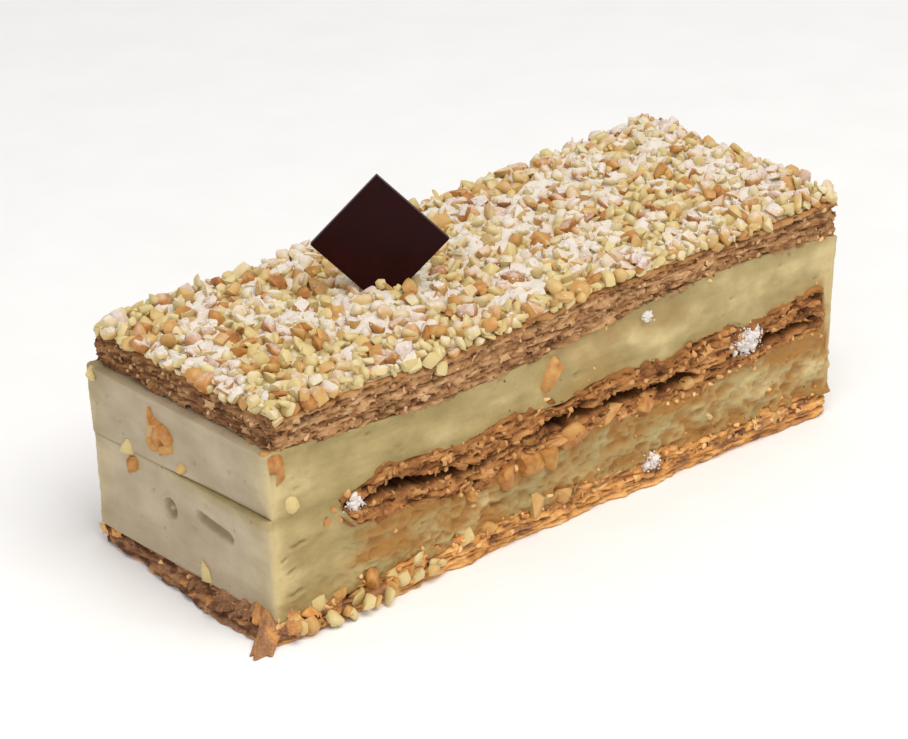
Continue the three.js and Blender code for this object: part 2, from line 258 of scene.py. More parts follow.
# Baked puff pastry: thin browned leaves, paler on their broken edges where the crumb stands out (painted
# light) and with painted shade down between them, dry and matt
def puffPastry(name, look):
    material, tree = newMaterial(name)
    place = addNode(tree, "ShaderNodeTexCoord").outputs["Object"]
    tone = addNode(tree, "ShaderNodeAttribute", attribute_name="tone").outputs["Fac"]
    crevice = addNode(tree, "ShaderNodeAttribute", attribute_name="crevice").outputs["Fac"]
    crust = addNode(tree, "ShaderNodeAttribute", attribute_name="crust").outputs["Fac"]
    # crumb about 0.6 mm, baked patches about 6 mm
    crumb = addNode(
        tree, "ShaderNodeTexNoise", {"Vector": place, "Scale": 1600.0, "Detail": 3.0, "Roughness": 0.65}
    )
    patch = addNode(tree, "ShaderNodeTexNoise", {"Vector": place, "Scale": 160.0, "Detail": 2.0})
    speckled = addNode(
        tree, "ShaderNodeMath", {0: crumb.outputs["Fac"], 1: 0.6, 2: tone}, operation="MULTIPLY_ADD"
    )
    mottled = addNode(
        tree,
        "ShaderNodeMath",
        {0: patch.outputs["Fac"], 1: 0.5, 2: speckled.outputs[0]},
        operation="MULTIPLY_ADD",
    )
    level = addNode(tree, "ShaderNodeMath", {0: mottled.outputs[0], 1: 0.55}, operation="SUBTRACT")
    leaf = rampOf(tree, level.outputs[0], look["leaf"])
    golden = addNode(tree, "ShaderNodeMix", {0: crust, 6: leaf, 7: linear(look["crust"])}, data_type="RGBA")
    # the crevice mask mixes in the gap colour: painted shade down between the leaves and in the parting
    shade = addNode(
        tree, "ShaderNodeMix", {0: crevice, 6: golden.outputs[2], 7: linear(look["gap"])}, data_type="RGBA"
    )
    grain = addNode(
        tree, "ShaderNodeBump", {"Height": crumb.outputs["Fac"], "Strength": 0.6, "Distance": 0.3 * mm}
    )
    shader = addNode(
        tree,
        "ShaderNodeBsdfPrincipled",
        {
            "Base Color": shade.outputs[2],
            "Roughness": look["roughness"],
            "IOR": 1.45,
            "Specular IOR Level": 0.3,
            "Normal": grain.outputs["Normal"],
        },
    )
    finishMaterial(tree, shader)
    return material


# Set vanilla cream: dense and satin, paler and greyer where the knife drew it smooth, with fine dark seeds
def vanillaCream(name, look):
    material, tree = newMaterial(name)
    place = addNode(tree, "ShaderNodeTexCoord").outputs["Object"]
    ends = addNode(tree, "ShaderNodeAttribute", attribute_name="knife").outputs["Fac"]
    torn = addNode(tree, "ShaderNodeAttribute", attribute_name="torn").outputs["Fac"]
    pale = addNode(tree, "ShaderNodeAttribute", attribute_name="pale").outputs["Fac"]
    # smears about 20 mm long and 6 mm high, clouds about 9 mm
    drawn = addNode(tree, "ShaderNodeMapping", {"Vector": place, "Scale": (50.0, 50.0, 160.0)})
    smear = addNode(tree, "ShaderNodeTexNoise", {"Vector": drawn.outputs[0], "Scale": 1.0, "Detail": 3.0})
    cloud = addNode(tree, "ShaderNodeTexNoise", {"Vector": place, "Scale": 110.0, "Detail": 4.0})
    both = addNode(tree, "ShaderNodeMix", {0: 0.5, 2: smear.outputs["Fac"], 3: cloud.outputs["Fac"]})
    # the pale attribute is painted light across the middle of each wall and on the corners, painted shade by
    # the pastry, and lighter towards the right end
    level = addNode(tree, "ShaderNodeMath", {0: pale, 1: 0.12, 2: both.outputs[0]}, operation="MULTIPLY_ADD")
    side = rampOf(tree, level.outputs[0], look["side"])
    cut = rampOf(tree, both.outputs[0], look["cut"])
    colour = addNode(tree, "ShaderNodeMix", {0: ends, 6: side, 7: cut}, data_type="RGBA")
    warm = addNode(
        tree, "ShaderNodeMix", {0: torn, 6: colour.outputs[2], 7: linear(look["torn"])}, data_type="RGBA"
    )
    # painted shade in the ring, the slot and the tears and along the join, mixed in with the dent colour
    dent = addNode(tree, "ShaderNodeAttribute", attribute_name="dent").outputs["Fac"]
    sunk = addNode(
        tree, "ShaderNodeMix", {0: dent, 6: warm.outputs[2], 7: linear(look["dent"])}, data_type="RGBA"
    )
    # vanilla seeds about 0.4 mm across, in a few of the 3 mm cells
    cell = addNode(tree, "ShaderNodeTexVoronoi", {"Vector": place, "Scale": 330.0})
    seed = addNode(
        tree, "ShaderNodeMapRange", {0: cell.outputs["Distance"], 1: 0.05, 2: 0.12, 3: 0.6, 4: 0.0}
    )
    few = addNode(tree, "ShaderNodeMath", {0: cell.outputs["Color"], 1: 0.7}, operation="GREATER_THAN")
    dot = addNode(tree, "ShaderNodeMath", {0: seed.outputs[0], 1: few.outputs[0]}, operation="MULTIPLY")
    seeded = addNode(
        tree,
        "ShaderNodeMix",
        {0: dot.outputs[0], 6: sunk.outputs[2], 7: linear(look["seed"])},
        data_type="RGBA",
    )
    pore = addNode(tree, "ShaderNodeTexNoise", {"Vector": place, "Scale": 900.0, "Detail": 3.0})
    grain = addNode(
        tree, "ShaderNodeBump", {"Height": pore.outputs["Fac"], "Strength": 0.5, "Distance": 0.4 * mm}
    )
    shader = addNode(
        tree,
        "ShaderNodeBsdfPrincipled",
        {
            "Base Color": seeded.outputs[2],
            "Roughness": 0.55,
            "IOR": 1.45,
            "Specular IOR Level": 0.35,
            "Subsurface Weight": 0.2,
            "Subsurface Radius": (1.0, 0.7, 0.35),
            "Subsurface Scale": 1.5 * mm,
            "Normal": grain.outputs["Normal"],
        },
    )
    finishMaterial(tree, shader)
    return material


# Roasted chopped nuts: ivory to golden with a few browned skins, waxy where cut, white where sugar lies
def roastedNut(name, look):
    material, tree = newMaterial(name)
    place = addNode(tree, "ShaderNodeTexCoord").outputs["Object"]
    tone = addNode(tree, "ShaderNodeAttribute", attribute_name="tone").outputs["Fac"]
    sugar = addNode(tree, "ShaderNodeAttribute", attribute_name="sugar").outputs["Fac"]
    # toasting changes over about 2.5 mm, sugar clots over about 1.4 mm
    toast = addNode(tree, "ShaderNodeTexNoise", {"Vector": place, "Scale": 400.0, "Detail": 2.0})
    dust = addNode(
        tree, "ShaderNodeTexNoise", {"Vector": place, "Scale": 700.0, "Detail": 5.0, "Roughness": 0.7}
    )
    spread = addNode(
        tree, "ShaderNodeMath", {0: toast.outputs["Fac"], 1: 0.4, 2: tone}, operation="MULTIPLY_ADD"
    )
    level = addNode(tree, "ShaderNodeMath", {0: spread.outputs[0], 1: 0.2}, operation="SUBTRACT")
    flesh = rampOf(tree, level.outputs[0], look["flesh"])
    normal = addNode(tree, "ShaderNodeNewGeometry").outputs["Normal"]
    upward = addNode(tree, "ShaderNodeSeparateXYZ", {0: normal})
    lies = addNode(tree, "ShaderNodeMapRange", {0: upward.outputs["Z"], 1: -0.1, 2: 0.9, 3: 0.0, 4: 1.0})
    heavy = addNode(tree, "ShaderNodeMath", {0: lies.outputs[0], 1: sugar}, operation="MULTIPLY")
    grainy = addNode(
        tree,
        "ShaderNodeMath",
        {0: heavy.outputs[0], 1: 1.1, 2: dust.outputs["Fac"]},
        operation="MULTIPLY_ADD",
    )
    cover = addNode(tree, "ShaderNodeMapRange", {0: grainy.outputs[0], 1: 0.68, 2: 1.22, 3: 0.0, 4: 0.9})
    colour = addNode(
        tree, "ShaderNodeMix", {0: cover.outputs[0], 6: flesh, 7: linear(look["sugar"])}, data_type="RGBA"
    )
    gloss = addNode(tree, "ShaderNodeMapRange", {0: cover.outputs[0], 3: 0.42, 4: 0.85})
    grain = addNode(
        tree, "ShaderNodeBump", {"Height": dust.outputs["Fac"], "Strength": 0.3, "Distance": 0.3 * mm}
    )
    shader = addNode(
        tree,
        "ShaderNodeBsdfPrincipled",
        {
            "Base Color": colour.outputs[2],
            "Roughness": gloss.outputs[0],
            "IOR": 1.47,
            "Specular IOR Level": 0.4,
            "Subsurface Weight": 0.15,
            "Subsurface Radius": (1.0, 0.6, 0.3),
            "Subsurface Scale": 1.0 * mm,
            "Normal": grain.outputs["Normal"],
        },
    )
    finishMaterial(tree, shader)
    return material


# Icing sugar: fine white powder in soft lumps
def icingSugar(name, look):
    material, tree = newMaterial(name)
    place = addNode(tree, "ShaderNodeTexCoord").outputs["Object"]
    powder = addNode(tree, "ShaderNodeTexNoise", {"Vector": place, "Scale": 2500.0, "Detail": 3.0})
    colour = rampOf(tree, powder.outputs["Fac"], look["powder"])
    grain = addNode(
        tree, "ShaderNodeBump", {"Height": powder.outputs["Fac"], "Strength": 0.6, "Distance": 0.2 * mm}
    )
    shader = addNode(
        tree,
        "ShaderNodeBsdfPrincipled",
        {
            "Base Color": colour,
            "Roughness": 0.9,
            "Specular IOR Level": 0.2,
            "Subsurface Weight": 0.3,
            "Subsurface Radius": (1.0, 0.9, 0.8),
            "Subsurface Scale": 0.5 * mm,
            "Normal": grain.outputs["Normal"],
        },
    )
    finishMaterial(tree, shader)
    return material


# Tempered dark chocolate: near black brown with a clean snap and a soft gloss, a little finger-dulled
def temperedChocolate(name, look):
    material, tree = newMaterial(name)
    place = addNode(tree, "ShaderNodeTexCoord").outputs["Object"]
    cloud = addNode(tree, "ShaderNodeTexNoise", {"Vector": place, "Scale": 130.0, "Detail": 3.0})
    colour = rampOf(tree, cloud.outputs["Fac"], look["colour"])
    gloss = addNode(tree, "ShaderNodeMapRange", {0: cloud.outputs["Fac"], 1: 0.3, 2: 0.7, 3: 0.26, 4: 0.4})
    shader = addNode(
        tree,
        "ShaderNodeBsdfPrincipled",
        {"Base Color": colour, "Roughness": gloss.outputs[0], "IOR": 1.46, "Specular IOR Level": 0.12},
    )
    finishMaterial(tree, shader)
    return material


# each gap colour is the painted shade in the crevices and the parting
topPastryLook = {
    "leaf": [(0.0, "#5c3820"), (0.3, "#8d623d"), (0.6, "#b3875a"), (1.0, "#d8b082")],
    "crust": "#b07c46",
    "gap": "#4f2a14",
    "roughness": 0.85,
}
middlePastryLook = {
    "leaf": [(0.0, "#4f2c16"), (0.3, "#8b5930"), (0.6, "#b27b45"), (1.0, "#d7a368")],
    "crust": "#93612f",
    "gap": "#3a1406",
    "roughness": 0.85,
}
basePastryLook = {
    "leaf": [
        (0.0, "#5f3d26"), (0.2, "#936a4a"), (0.33, "#ac7c52"),
        (0.42, "#c88c4e"), (0.63, "#e3a75f"), (1.0, "#f4c88c"),
    ],
    "crust": "#c98848",
    "gap": "#5a2c14",
    "roughness": 0.8,
}
creamLook = {
    "side": [(0.32, "#8a784a"), (0.5, "#9e8c5a"), (0.64, "#b09d6b"), (0.78, "#ccb985")],
    "cut": [(0.34, "#a8977a"), (0.5, "#b2a286"), (0.66, "#bfb094")],
    "torn": "#a37436",
    # the dent colour is the painted shade in the dents and along the join
    "dent": "#7d6c48",
    "seed": "#4a3820",
}
nutLook = {
    "flesh": [(0.0, "#d6c692"), (0.55, "#d1bb80"), (0.78, "#cba566"), (0.93, "#bd8644"), (1.0, "#a56a36")],
    "sugar": "#dfd7d0",
}
sugarLook = {"powder": [(0.3, "#dacfc7"), (0.7, "#ece5df")]}
chocolateLook = {"colour": [(0.3, "#1e0202"), (0.7, "#270403")]}

topPastry = puffPastry("puffPastryTop", topPastryLook)
middlePastry = puffPastry("puffPastryMiddle", middlePastryLook)
basePastry = puffPastry("puffPastryBase", basePastryLook)
cream = vanillaCream("vanillaCream", creamLook)
nutFlesh = roastedNut("roastedChoppedNut", nutLook)
sugarPowder = icingSugar("icingSugar", sugarLook)
chocolate = temperedChocolate("temperedChocolate", chocolateLook)
print("materials ready")

# Puff pastry sheets: the wall is a pile of leaves with crevices between them, broken up into crumb and pores.
# crumb holds grains as length, height and depth; edge is how far the lower and the upper edge wander.
topSheet = {
    "ends": topEnds,
    "leaves": 8,
    "ragged": 0.5,
    "crevice": 0.6,
    "crumb": [(3.4, 0.9, 0.4), (1.6, 0.7, 0.4), (0.9, 0.5, 0.25)],
    "pores": {"long": 2.4, "high": 0.7, "from": 0.2, "depth": 1.0},
    "edge": (1.0, 0.4),
    "seed": 100,
    "endBrown": 0.2,  # baked darker on the left end
    "fade": 0.0,  # and towards it along the sides
}
middleSheet = {
    "ends": middleEnds,
    "leaves": 8,
    "ragged": 0.7,
    "crevice": 0.7,
    "crumb": [(4.2, 2.4, 0.7), (1.9, 1.0, 0.45), (0.9, 0.6, 0.25)],
    "pores": {"long": 2.6, "high": 0.9, "from": 0.22, "depth": 1.3},
    "edge": (1.2, 1.5),
    "endRagged": 1.6,
    "seed": 200,
    "taper": 8.0,  # thins out over this length at its left end
    # along x: share of the height where the sheet has parted, and how wide it gapes
    "parting": [
        (-71, 0.6, 0.0), (-68.5, 0.62, 0.7), (-66, 0.64, 2.8), (-61, 0.55, 1.6), (-54, 0.5, 3.4),
        (-44, 0.46, 3.2), (-31, 0.4, 2.4), (-21, 0.42, 1.0), (-10, 0.47, 2.2), (4, 0.46, 3.4),
        (18, 0.43, 3.0), (30, 0.4, 2.2), (37, 0.38, 3.2), (44, 0.36, 0.4), (60, 0.31, 0.4),
        (67, 0.32, 2.2), (80, 0.34, 3.0), (88, 0.33, 0.8),
    ],
    "partingDepth": 7.0,
    "endBrown": 0.1,
    "fade": 0.5,
    "lowerPale": 0.04,  # the leaves under the parting are lighter
}
baseSheet = {
    "ends": baseEnds,
    "leaves": 6,
    "ragged": 1.0,
    "crevice": 1.1,
    "crumb": [(4.5, 1.2, 0.5), (1.8, 0.7, 0.25), (0.9, 0.4, 0.15)],
    "pores": {"long": 3.4, "high": 0.7, "from": 0.28, "depth": 1.0},
    "edge": (0.0, 1.0),
    "seed": 300,
    "apron": {"left": 5.0, "front": 2.6, "taper": 90.0},  # the lowest leaves spread to the front left
    "endBrown": 0.36,
    "fade": 0.8,
}


def apronAt(rim, apron):
    end, side = slicePlan["length"] / 2, slicePlan["width"] / 2
    front = apron["front"] * (1 - eased(rim["x"], -end, -end + apron["taper"])) * (rim["outY"] < 0)
    left = apron["left"] * eased(-rim["y"], -side, side) * (rim["outX"] < 0)
    return np.maximum(front * np.abs(rim["outY"]), left * np.abs(rim["outX"]))


# how far the cream has opened round the middle sheet, from its tapered left end to its blunt right end
def pocketAt(x):
    opened = 1 - (1 - np.clip((x - middleEnds[0]) / middleSheet["taper"], 0, 1)) ** 2
    return opened * (1 - eased(x, middleEnds[1], middleEnds[1] + 1))


def edgeWander(rim, line, seed):
    return 0.6 * rimNoise(rim, 7, line, seed) + 0.5 * rimNoise(rim, 2.2, line + 1, seed + 1, 2)


def pastrySheet(look, floorName, roofName):
    rim = rimOf(look["ends"], slicePlan["width"], cornerRound["pastry"], meshStep["sheetRound"])
    seed = look["seed"]
    floor = heightAt(floorName, rim["x"]) if floorName else np.zeros_like(rim["x"])
    roof = heightAt(roofName, rim["x"])
    if "taper" in look:
        middle = creamJoin["at"] - 3.0
        thin = 0.2 + 0.8 * pocketAt(rim["x"])
        floor, roof = middle + (floor - middle) * thin, middle + (roof - middle) * thin
    low = floor + look["edge"][0] * edgeWander(rim, 1, seed + 20)
    high = roof + look["edge"][1] * edgeWander(rim, 3, seed + 22)
    tall = high - low
    rowCount = int(tall.max() / meshStep["sheetUp"])
    share = np.linspace(0, 1, rowCount)[:, None]
    z = low + tall * share
    count = look["leaves"]
    leafOf = np.zeros(z.shape, int)
    crevice = np.zeros(z.shape)
    for k in range(1, count):
        wander = 0.34 * rimNoise(rim, 17, k, seed + 1) + 0.14 * rimNoise(rim, 3.5, k, seed + 2)
        away = (share - (k + wander) / count) * tall
        depth = look["crevice"] * np.clip(0.2 + 1.3 * rimNoise(rim, 5, k, seed + 3, 2), 0, 1.4)
        reach = 0.15 + 0.2 * np.clip(0.4 + rimNoise(rim, 4, k, seed + 4), 0, 1)
        leafOf += away > 0
        crevice = np.maximum(crevice, depth * np.exp(-((away / reach) ** 2)))
    leafOut = np.stack([
        look["ragged"] * (0.7 * rimNoise(rim, 9, k, seed + 5) + 0.6 * rimNoise(rim, 2.4, k, seed + 6, 2))
        for k in range(count)
    ])
    leafTone = np.stack([
        0.5 + 0.2 * rimNoise(rim, 26, 3.7 * k, seed + 7) + 0.2 * rimNoise(rim, 2.5, k, seed + 8)
        for k in range(count)
    ])
    grains = sum(
        deep * rimNoise(rim, long, z / up, seed + 9 + k, 2)
        for k, (long, up, deep) in enumerate(look["crumb"])
    )
    pores = look["pores"]
    pitted = rimNoise(rim, pores["long"], z / pores["high"], seed + 14, 2)
    hole = pores["depth"] * np.clip((pitted - pores["from"]) / 0.3, 0, 1)
    sunk = np.maximum(crevice, hole)
    out = np.take_along_axis(leafOut, leafOf, 0) + grains - sunk
    # the grains' relief also lightens the crumb that stands out and darkens the sunk crumb: painted light and
    # shade
    tone = np.take_along_axis(leafTone, leafOf, 0) + 0.3 * grains / sum(deep for _, _, deep in look["crumb"])
    onLeft = rim["outX"] < -0.5
    tone = tone - look["endBrown"] * np.maximum(look["fade"] * (1 - eased(rim["x"], -90, -45)), onLeft)
    parted = np.zeros_like(out)
    if "parting" in look:
        places, lines, gapes = zip(*look["parting"])
        line = np.interp(rim["x"], places, lines) + 0.02 * rimNoise(rim, 5, 0, seed + 15, 2)
        gape = np.interp(rim["x"], places, gapes) / tall
        gape = gape * np.clip(0.95 + 0.6 * rimNoise(rim, 4, 2, seed + 16, 2), 0.25, 1.5)
        away = np.abs(share - line) - gape / 2
        parted = (1 - eased(away, -0.012, 0.012)) * np.clip(rim["fromCorner"] / 3, 0, 1)
        out = out - look["partingDepth"] * parted
        tone = tone + look["lowerPale"] * (share < line) - 0.06 * (share > line)
    if "endRagged" in look:
        out = out + look["endRagged"] * roughNoise(z / 2.6, 0 * z + 0.5, seed + 18, 2) * rim["outX"] ** 2
    if "apron" in look:
        out = out + apronAt(rim, look["apron"]) * (1 - eased(share, 0.15, 0.95))
    out = out - 0.6 * (1 - eased(share, 0.0, 0.07)) - 0.6 * eased(share, 0.93, 1.0)
    walls = [ringOf(rim, out[k], 0.0, z[k]) for k in range(rowCount)]
    insets = [0.6, 1.3, 2.4, 4.5, 9.0]
    over, under = [], []
    for inset in insets:
        left = max(0, 1 - inset / 5)
        bump = 0.15 * rimNoise(rim, 2.5, inset, seed + 17, 2)
        over.append(ringOf(rim, out[-1] * left, inset, roof + (high - roof) * left + bump))
        under.insert(0, ringOf(rim, out[0] * left, inset, floor + (low - floor) * left))
    points, faces = closedSkin(under + walls + over)
    baked = 0.6 - 0.5 * onLeft
    extra = np.zeros((len(insets), len(tall)))
    # painted shade in the crevices, the pores and the open parting
    paintedShade = np.clip(0.7 * sunk / 1.3 + 0.85 * parted, 0, 1)
    lip = eased(share, 0.86, 0.95) + 0 * tone
    attributes = {
        "tone": np.concatenate([extra + tone[:1], tone, extra + tone[-1:]]),
        "crevice": np.concatenate([extra, paintedShade, extra]),
        "crust": np.concatenate([extra, baked * lip, extra + baked]),
        "flaky": np.concatenate([extra, (1 - parted) * (np.abs(share - 0.5) < 0.44) * (z > 3.4), extra]),
    }
    return points, faces, attributes


def layPastry(name, look, floorName, roofName, material, node):
    points, faces, attributes = pastrySheet(look, floorName, roofName)
    return standFor(makePiece(name, points, faces, material, attributes), "pastry", node)


topPiece = layPastry("topPastrySheet", topSheet, "topBottom", "topTop", topPastry, "top_pastry")
middlePiece = layPastry(
    "middlePastrySheet", middleSheet, "middleBottom", "middleTop", middlePastry, "middle_pastry"
)
basePiece = layPastry("basePastrySheet", baseSheet, None, "baseTop", basePastry, "base_pastry")
print("pastry sheets laid")

# Cream layers: drawn smooth on the ends, smeared along the sides, closing round the ends of the middle sheet
creamFace = {
    "smear": 0.6,
    "torn": (1.5, 0.2),  # near the base and near the top
    "drag": 0.1,
    "poke": 1.1,  # how far the cream reaches behind the pastry edges
    "lap": 1.6,  # how far the upper layer comes down over the lower on the sides
    "pits": 130,
    "seed": 400,
    "ring": {"y": 4.2, "z": 20.1, "radius": 1.6, "depth": 2.0},
    "slot": {"y": -12.8, "z": 21.4, "half": 6.8, "fall": 0.13, "wide": 1.3, "depth": 1.9},
    # x, z and length
    "tears": [(-82.4, 22.3, 2.2), (-83.5, 10.2, 2.6), (-84.5, 16.0, 1.2), (-86.5, 19.5, 0.9)],
}
# how far the end walls stand out at the foot and the head of each layer; on the left the lower one makes a
# ledge at the front and the upper one is set back behind it
lowerLean = {"left": (0.0, 0.3), "right": (0.0, 1.0), "ledge": 1.2}
upperLean = {"left": (0.5, 1.5), "right": (1.0, 2.2), "ledge": -0.8}
# against the pastry the cream is squeezed out and browned with crumb; the lower layer is browned all along
creamEdge = {
    "reach": 1.8,
    "squeeze": (0.15, 0.7),  # everywhere, and how far it wanders
    "brownByBase": 3.5,
    "brownBySheet": 3.0,
    "brown": 1.2,
    "brownAllAlong": 0.42,
}


# the sides are drawn smooth at the left and torn further along
def tornAt(x):
    return 0.15 + 0.85 * eased(x, -76, -60)


# how far the cream stands out at each point of its wall, the same for both layers so that they run on
def creamRelief(rim, z):
    face = creamFace
    seed = face["seed"]
    knife = rim["outX"] ** 2
    longWave = rimNoise(rim, 26, z / 9, seed + 1, 2)
    shortWave = rimNoise(rim, 6, z / 3, seed + 2, 3)
    smear = face["smear"] * (longWave + 0.5 * shortWave)
    foot, head = face["torn"]
    ripped = 0.35 - np.abs(rimNoise(rim, 4.2, z / 3, seed + 3, 3)) * 1.6
    torn = (head + (foot - head) * (1 - eased(z, 12, 33)) * tornAt(rim["x"])) * ripped
    drag = face["drag"] * (rimNoise(rim, 30, z / 0.9, seed + 4, 2) + 1.5 * rimNoise(rim, 20, z / 8, seed + 5))
    relief = knife * drag + (1 - knife) * (smear + torn)
    draw = np.random.default_rng(seed)
    for _ in range(face["pits"]):
        at, high = draw.uniform(0, rim["around"]), draw.uniform(9, 46)
        wide, deep = draw.uniform(0.3, 0.8), draw.uniform(0.25, 0.9)
        relief = relief - deep * np.exp(-(((rim["at"] - at) / (1.5 * wide)) ** 2) - ((z - high) / wide) ** 2)
    onLeft = rim["outX"] < -0.9
    onFront = rim["outY"] < -0.9
    ring, slot = face["ring"], face["slot"]
    away = np.hypot(rim["y"] - ring["y"], z - ring["z"])
    hollow = np.exp(-(((away - ring["radius"]) / 0.75) ** 2)) * onLeft
    raised = np.exp(-(((away - 1.9 * ring["radius"]) / 0.6) ** 2)) * onLeft
    relief = relief - ring["depth"] * hollow + 0.5 * raised
    run = rim["y"] - slot["y"]
    past = np.maximum(np.abs(run) - slot["half"] + slot["wide"], 0)
    off = np.hypot(past, z - slot["z"] - slot["fall"] * run) / slot["wide"]
    groove = np.exp(-(off**3)) * onLeft
    relief = relief - slot["depth"] * groove
    # the hollow and the groove are also handed painted shade
    sunk = 0.6 * hollow + 0.55 * groove
    for x, high, reach in face["tears"]:
        bent = z - high - 0.2 * np.sin((rim["x"] - x) * 1.7) - 0.1 * (rim["x"] - x)
        dent = np.exp(-(((rim["x"] - x) / reach) ** 4) - (bent / 0.4) ** 2)
        lip = np.exp(-(((rim["x"] - x) / reach) ** 4) - ((bent + 0.7) / 0.5) ** 2)
        relief = relief + (0.35 * lip - 0.9 * dent) * onFront
        # painted shade in each tear
        sunk = sunk + 0.3 * dent * onFront
    return relief, np.clip(1.3 * (smear + torn), -1, 1) * (1 - knife), sunk


def creamLayer(lean, upper):
    ends = (-slicePlan["length"] / 2, slicePlan["length"] / 2)
    creamWidth = slicePlan["width"] - 2 * slicePlan["creamSetBack"]
    rim = rimOf(ends, creamWidth, cornerRound["cream"], meshStep["creamRound"])
    seed = creamFace["seed"]
    x, y = rim["x"], rim["y"]
    poke = creamFace["poke"] * rim["outY"] ** 2
    pocket = pocketAt(x)
    join = creamJoin["at"] - creamJoin["tilt"] * y
    lapped = rim["outY"] ** 2 * (1 - pocket)
    if upper:
        floor = join - creamFace["lap"] * lapped + (heightAt("middleTop", x) - poke - join) * pocket
        roof = heightAt("topBottom", x) + 0.7 * poke - 0.2
    else:
        floor = heightAt("baseTop", x) - 0.7 * poke - 0.3
        roof = join + (heightAt("middleBottom", x) + poke - join) * pocket
    tall = roof - floor
    rowCount = int(tall.max() / meshStep["creamUp"])
    share = np.linspace(0, 1, rowCount)[:, None]
    z = floor + tall * share
    fromFloor, fromRoof = share * tall, (1 - share) * tall
    whole = (z - floor.min()) / (roof.max() - floor.min())
    foot, head = (np.where(x < 0, lean["left"][k], lean["right"][k]) for k in (0, 1))
    byJoin = whole if not upper else 1 - whole
    ledge = lean["ledge"] * eased(byJoin, 0.55, 1) * eased(-y, -12, 22) * (x < 0)
    relief, rough, sunk = creamRelief(rim, z)
    out = (foot + (head - foot) * whole + ledge) * np.abs(rim["outX"]) + relief
    # squeezed out unevenly against the pastry
    knife = rim["outX"] ** 2 + 0 * z
    below = np.exp(-((fromFloor / creamEdge["reach"]) ** 2)) * (pocket if upper else 1)
    above = np.exp(-((fromRoof / creamEdge["reach"]) ** 2)) * (1 if upper else pocket)
    even, wander = creamEdge["squeeze"]
    squeeze = even + wander * rimNoise(rim, 5, 0.5 + upper, seed + 6, 3)
    out = out + (1 - knife) * (below + above) * squeeze
    # the two creams turn in to each other along the join at the ends
    joinEdge = eased(fromFloor if upper else fromRoof, 0.7, 0)
    out = out - (0.25 if upper else 0.1) * joinEdge * knife
    # on the sides the upper one laps over the lower, so that no seam shows there
    if upper:
        out = out - 0.2 * eased(fromFloor, creamFace["lap"], 0) * lapped
    else:
        out = out - (0.03 * eased(fromRoof, 3, 2) + 0.2 * eased(fromRoof, 0.8, 0)) * lapped
    walls = [ringOf(rim, out[k], 0.0, z[k]) for k in range(rowCount)]
    insets = [0.7, 1.8, 4.0, 9.0]
    over = [ringOf(rim, out[-1] * (1 - d / 9), d, roof) for d in insets]
    under = [ringOf(rim, out[0] * (1 - d / 9), d, floor) for d in reversed(insets)]
    points, faces = closedSkin(under + walls + over)
    extra = np.zeros((len(insets), len(x)))
    # browned and crumby against the pastry and browner in its hollows as painted shade, paler across the
    # middle as painted light with painted shade by the pastry, lighter towards the right end, yellower on the
    # ledge as painted light and by the corners with a painted highlight
    cloudy = rimNoise(rim, 9, z / 4, seed + 7, 3)
    nearBase = 0 if upper else np.exp(-((fromFloor / creamEdge["brownByBase"]) ** 2))
    nearSheet = 0.25 * below if upper else np.exp(-((fromRoof / creamEdge["brownBySheet"]) ** 2)) * pocket
    allAlong = 0 if upper else creamEdge["brownAllAlong"] + 0.8 * cloudy
    browned = creamEdge["brown"] * (nearBase + nearSheet) * (0.9 + 0.9 * cloudy) + allAlong
    # browned against the pastry, and browner in the hollows of the relief as painted shade
    brownedAndShaded = np.clip(browned - 0.4 * rough, 0, 0.95) * tornAt(x - 6 + 14 * cloudy) * (1 - knife)
    # painted shadow along the join of the two layers on the ends
    sunk = np.clip(sunk + 0.3 * joinEdge * knife, 0, 1)
    # the ends take the side's yellow on the lit ledge as painted light, and by the corners with the painted
    # highlight there
    byLedge = eased(fromFloor, 0.9, 0.3) if upper else eased(fromRoof, 3.2, 1.2)
    byCorner = np.exp(-((rim["fromCorner"] / 7) ** 2))
    drawn = knife * (1 - 0.7 * byLedge * eased(-y, -20, 8)) * (1 - 0.4 * byCorner)
    corner = np.exp(-((rim["fromCorner"] / 2.5) ** 2))
    # painted light across the middle of the wall, painted shade towards the pastry above and below, lighter
    # towards the right end, a painted highlight on the corners
    pale = np.sin(np.pi * share) + 0.6 * eased(x, 20, 90) + 1.5 * corner
    crumbed = (1 - knife) * (np.clip(below + above, 0, 1) + 0.06) * (0.1 if upper else tornAt(x))
    attributes = {
        "pale": np.concatenate([extra, pale, extra]),
        "crumbed": np.concatenate([extra, crumbed, extra]),
        "dent": np.concatenate([extra, sunk, extra]),
        "knife": np.concatenate([extra + drawn[:1], drawn, extra + drawn[-1:]]),
        "torn": np.concatenate([extra, brownedAndShaded, extra]),
    }
    return points, faces, attributes


def layCream(name, lean, upper, node):
    points, faces, attributes = creamLayer(lean, upper)
    return standFor(makePiece(name, points, faces, cream, attributes), "cream", node)


lowerPiece = layCream("lowerCreamLayer", lowerLean, False, "lower_cream")
upperPiece = layCream("upperCreamLayer", upperLean, True, "upper_cream")
print("cream layers laid")


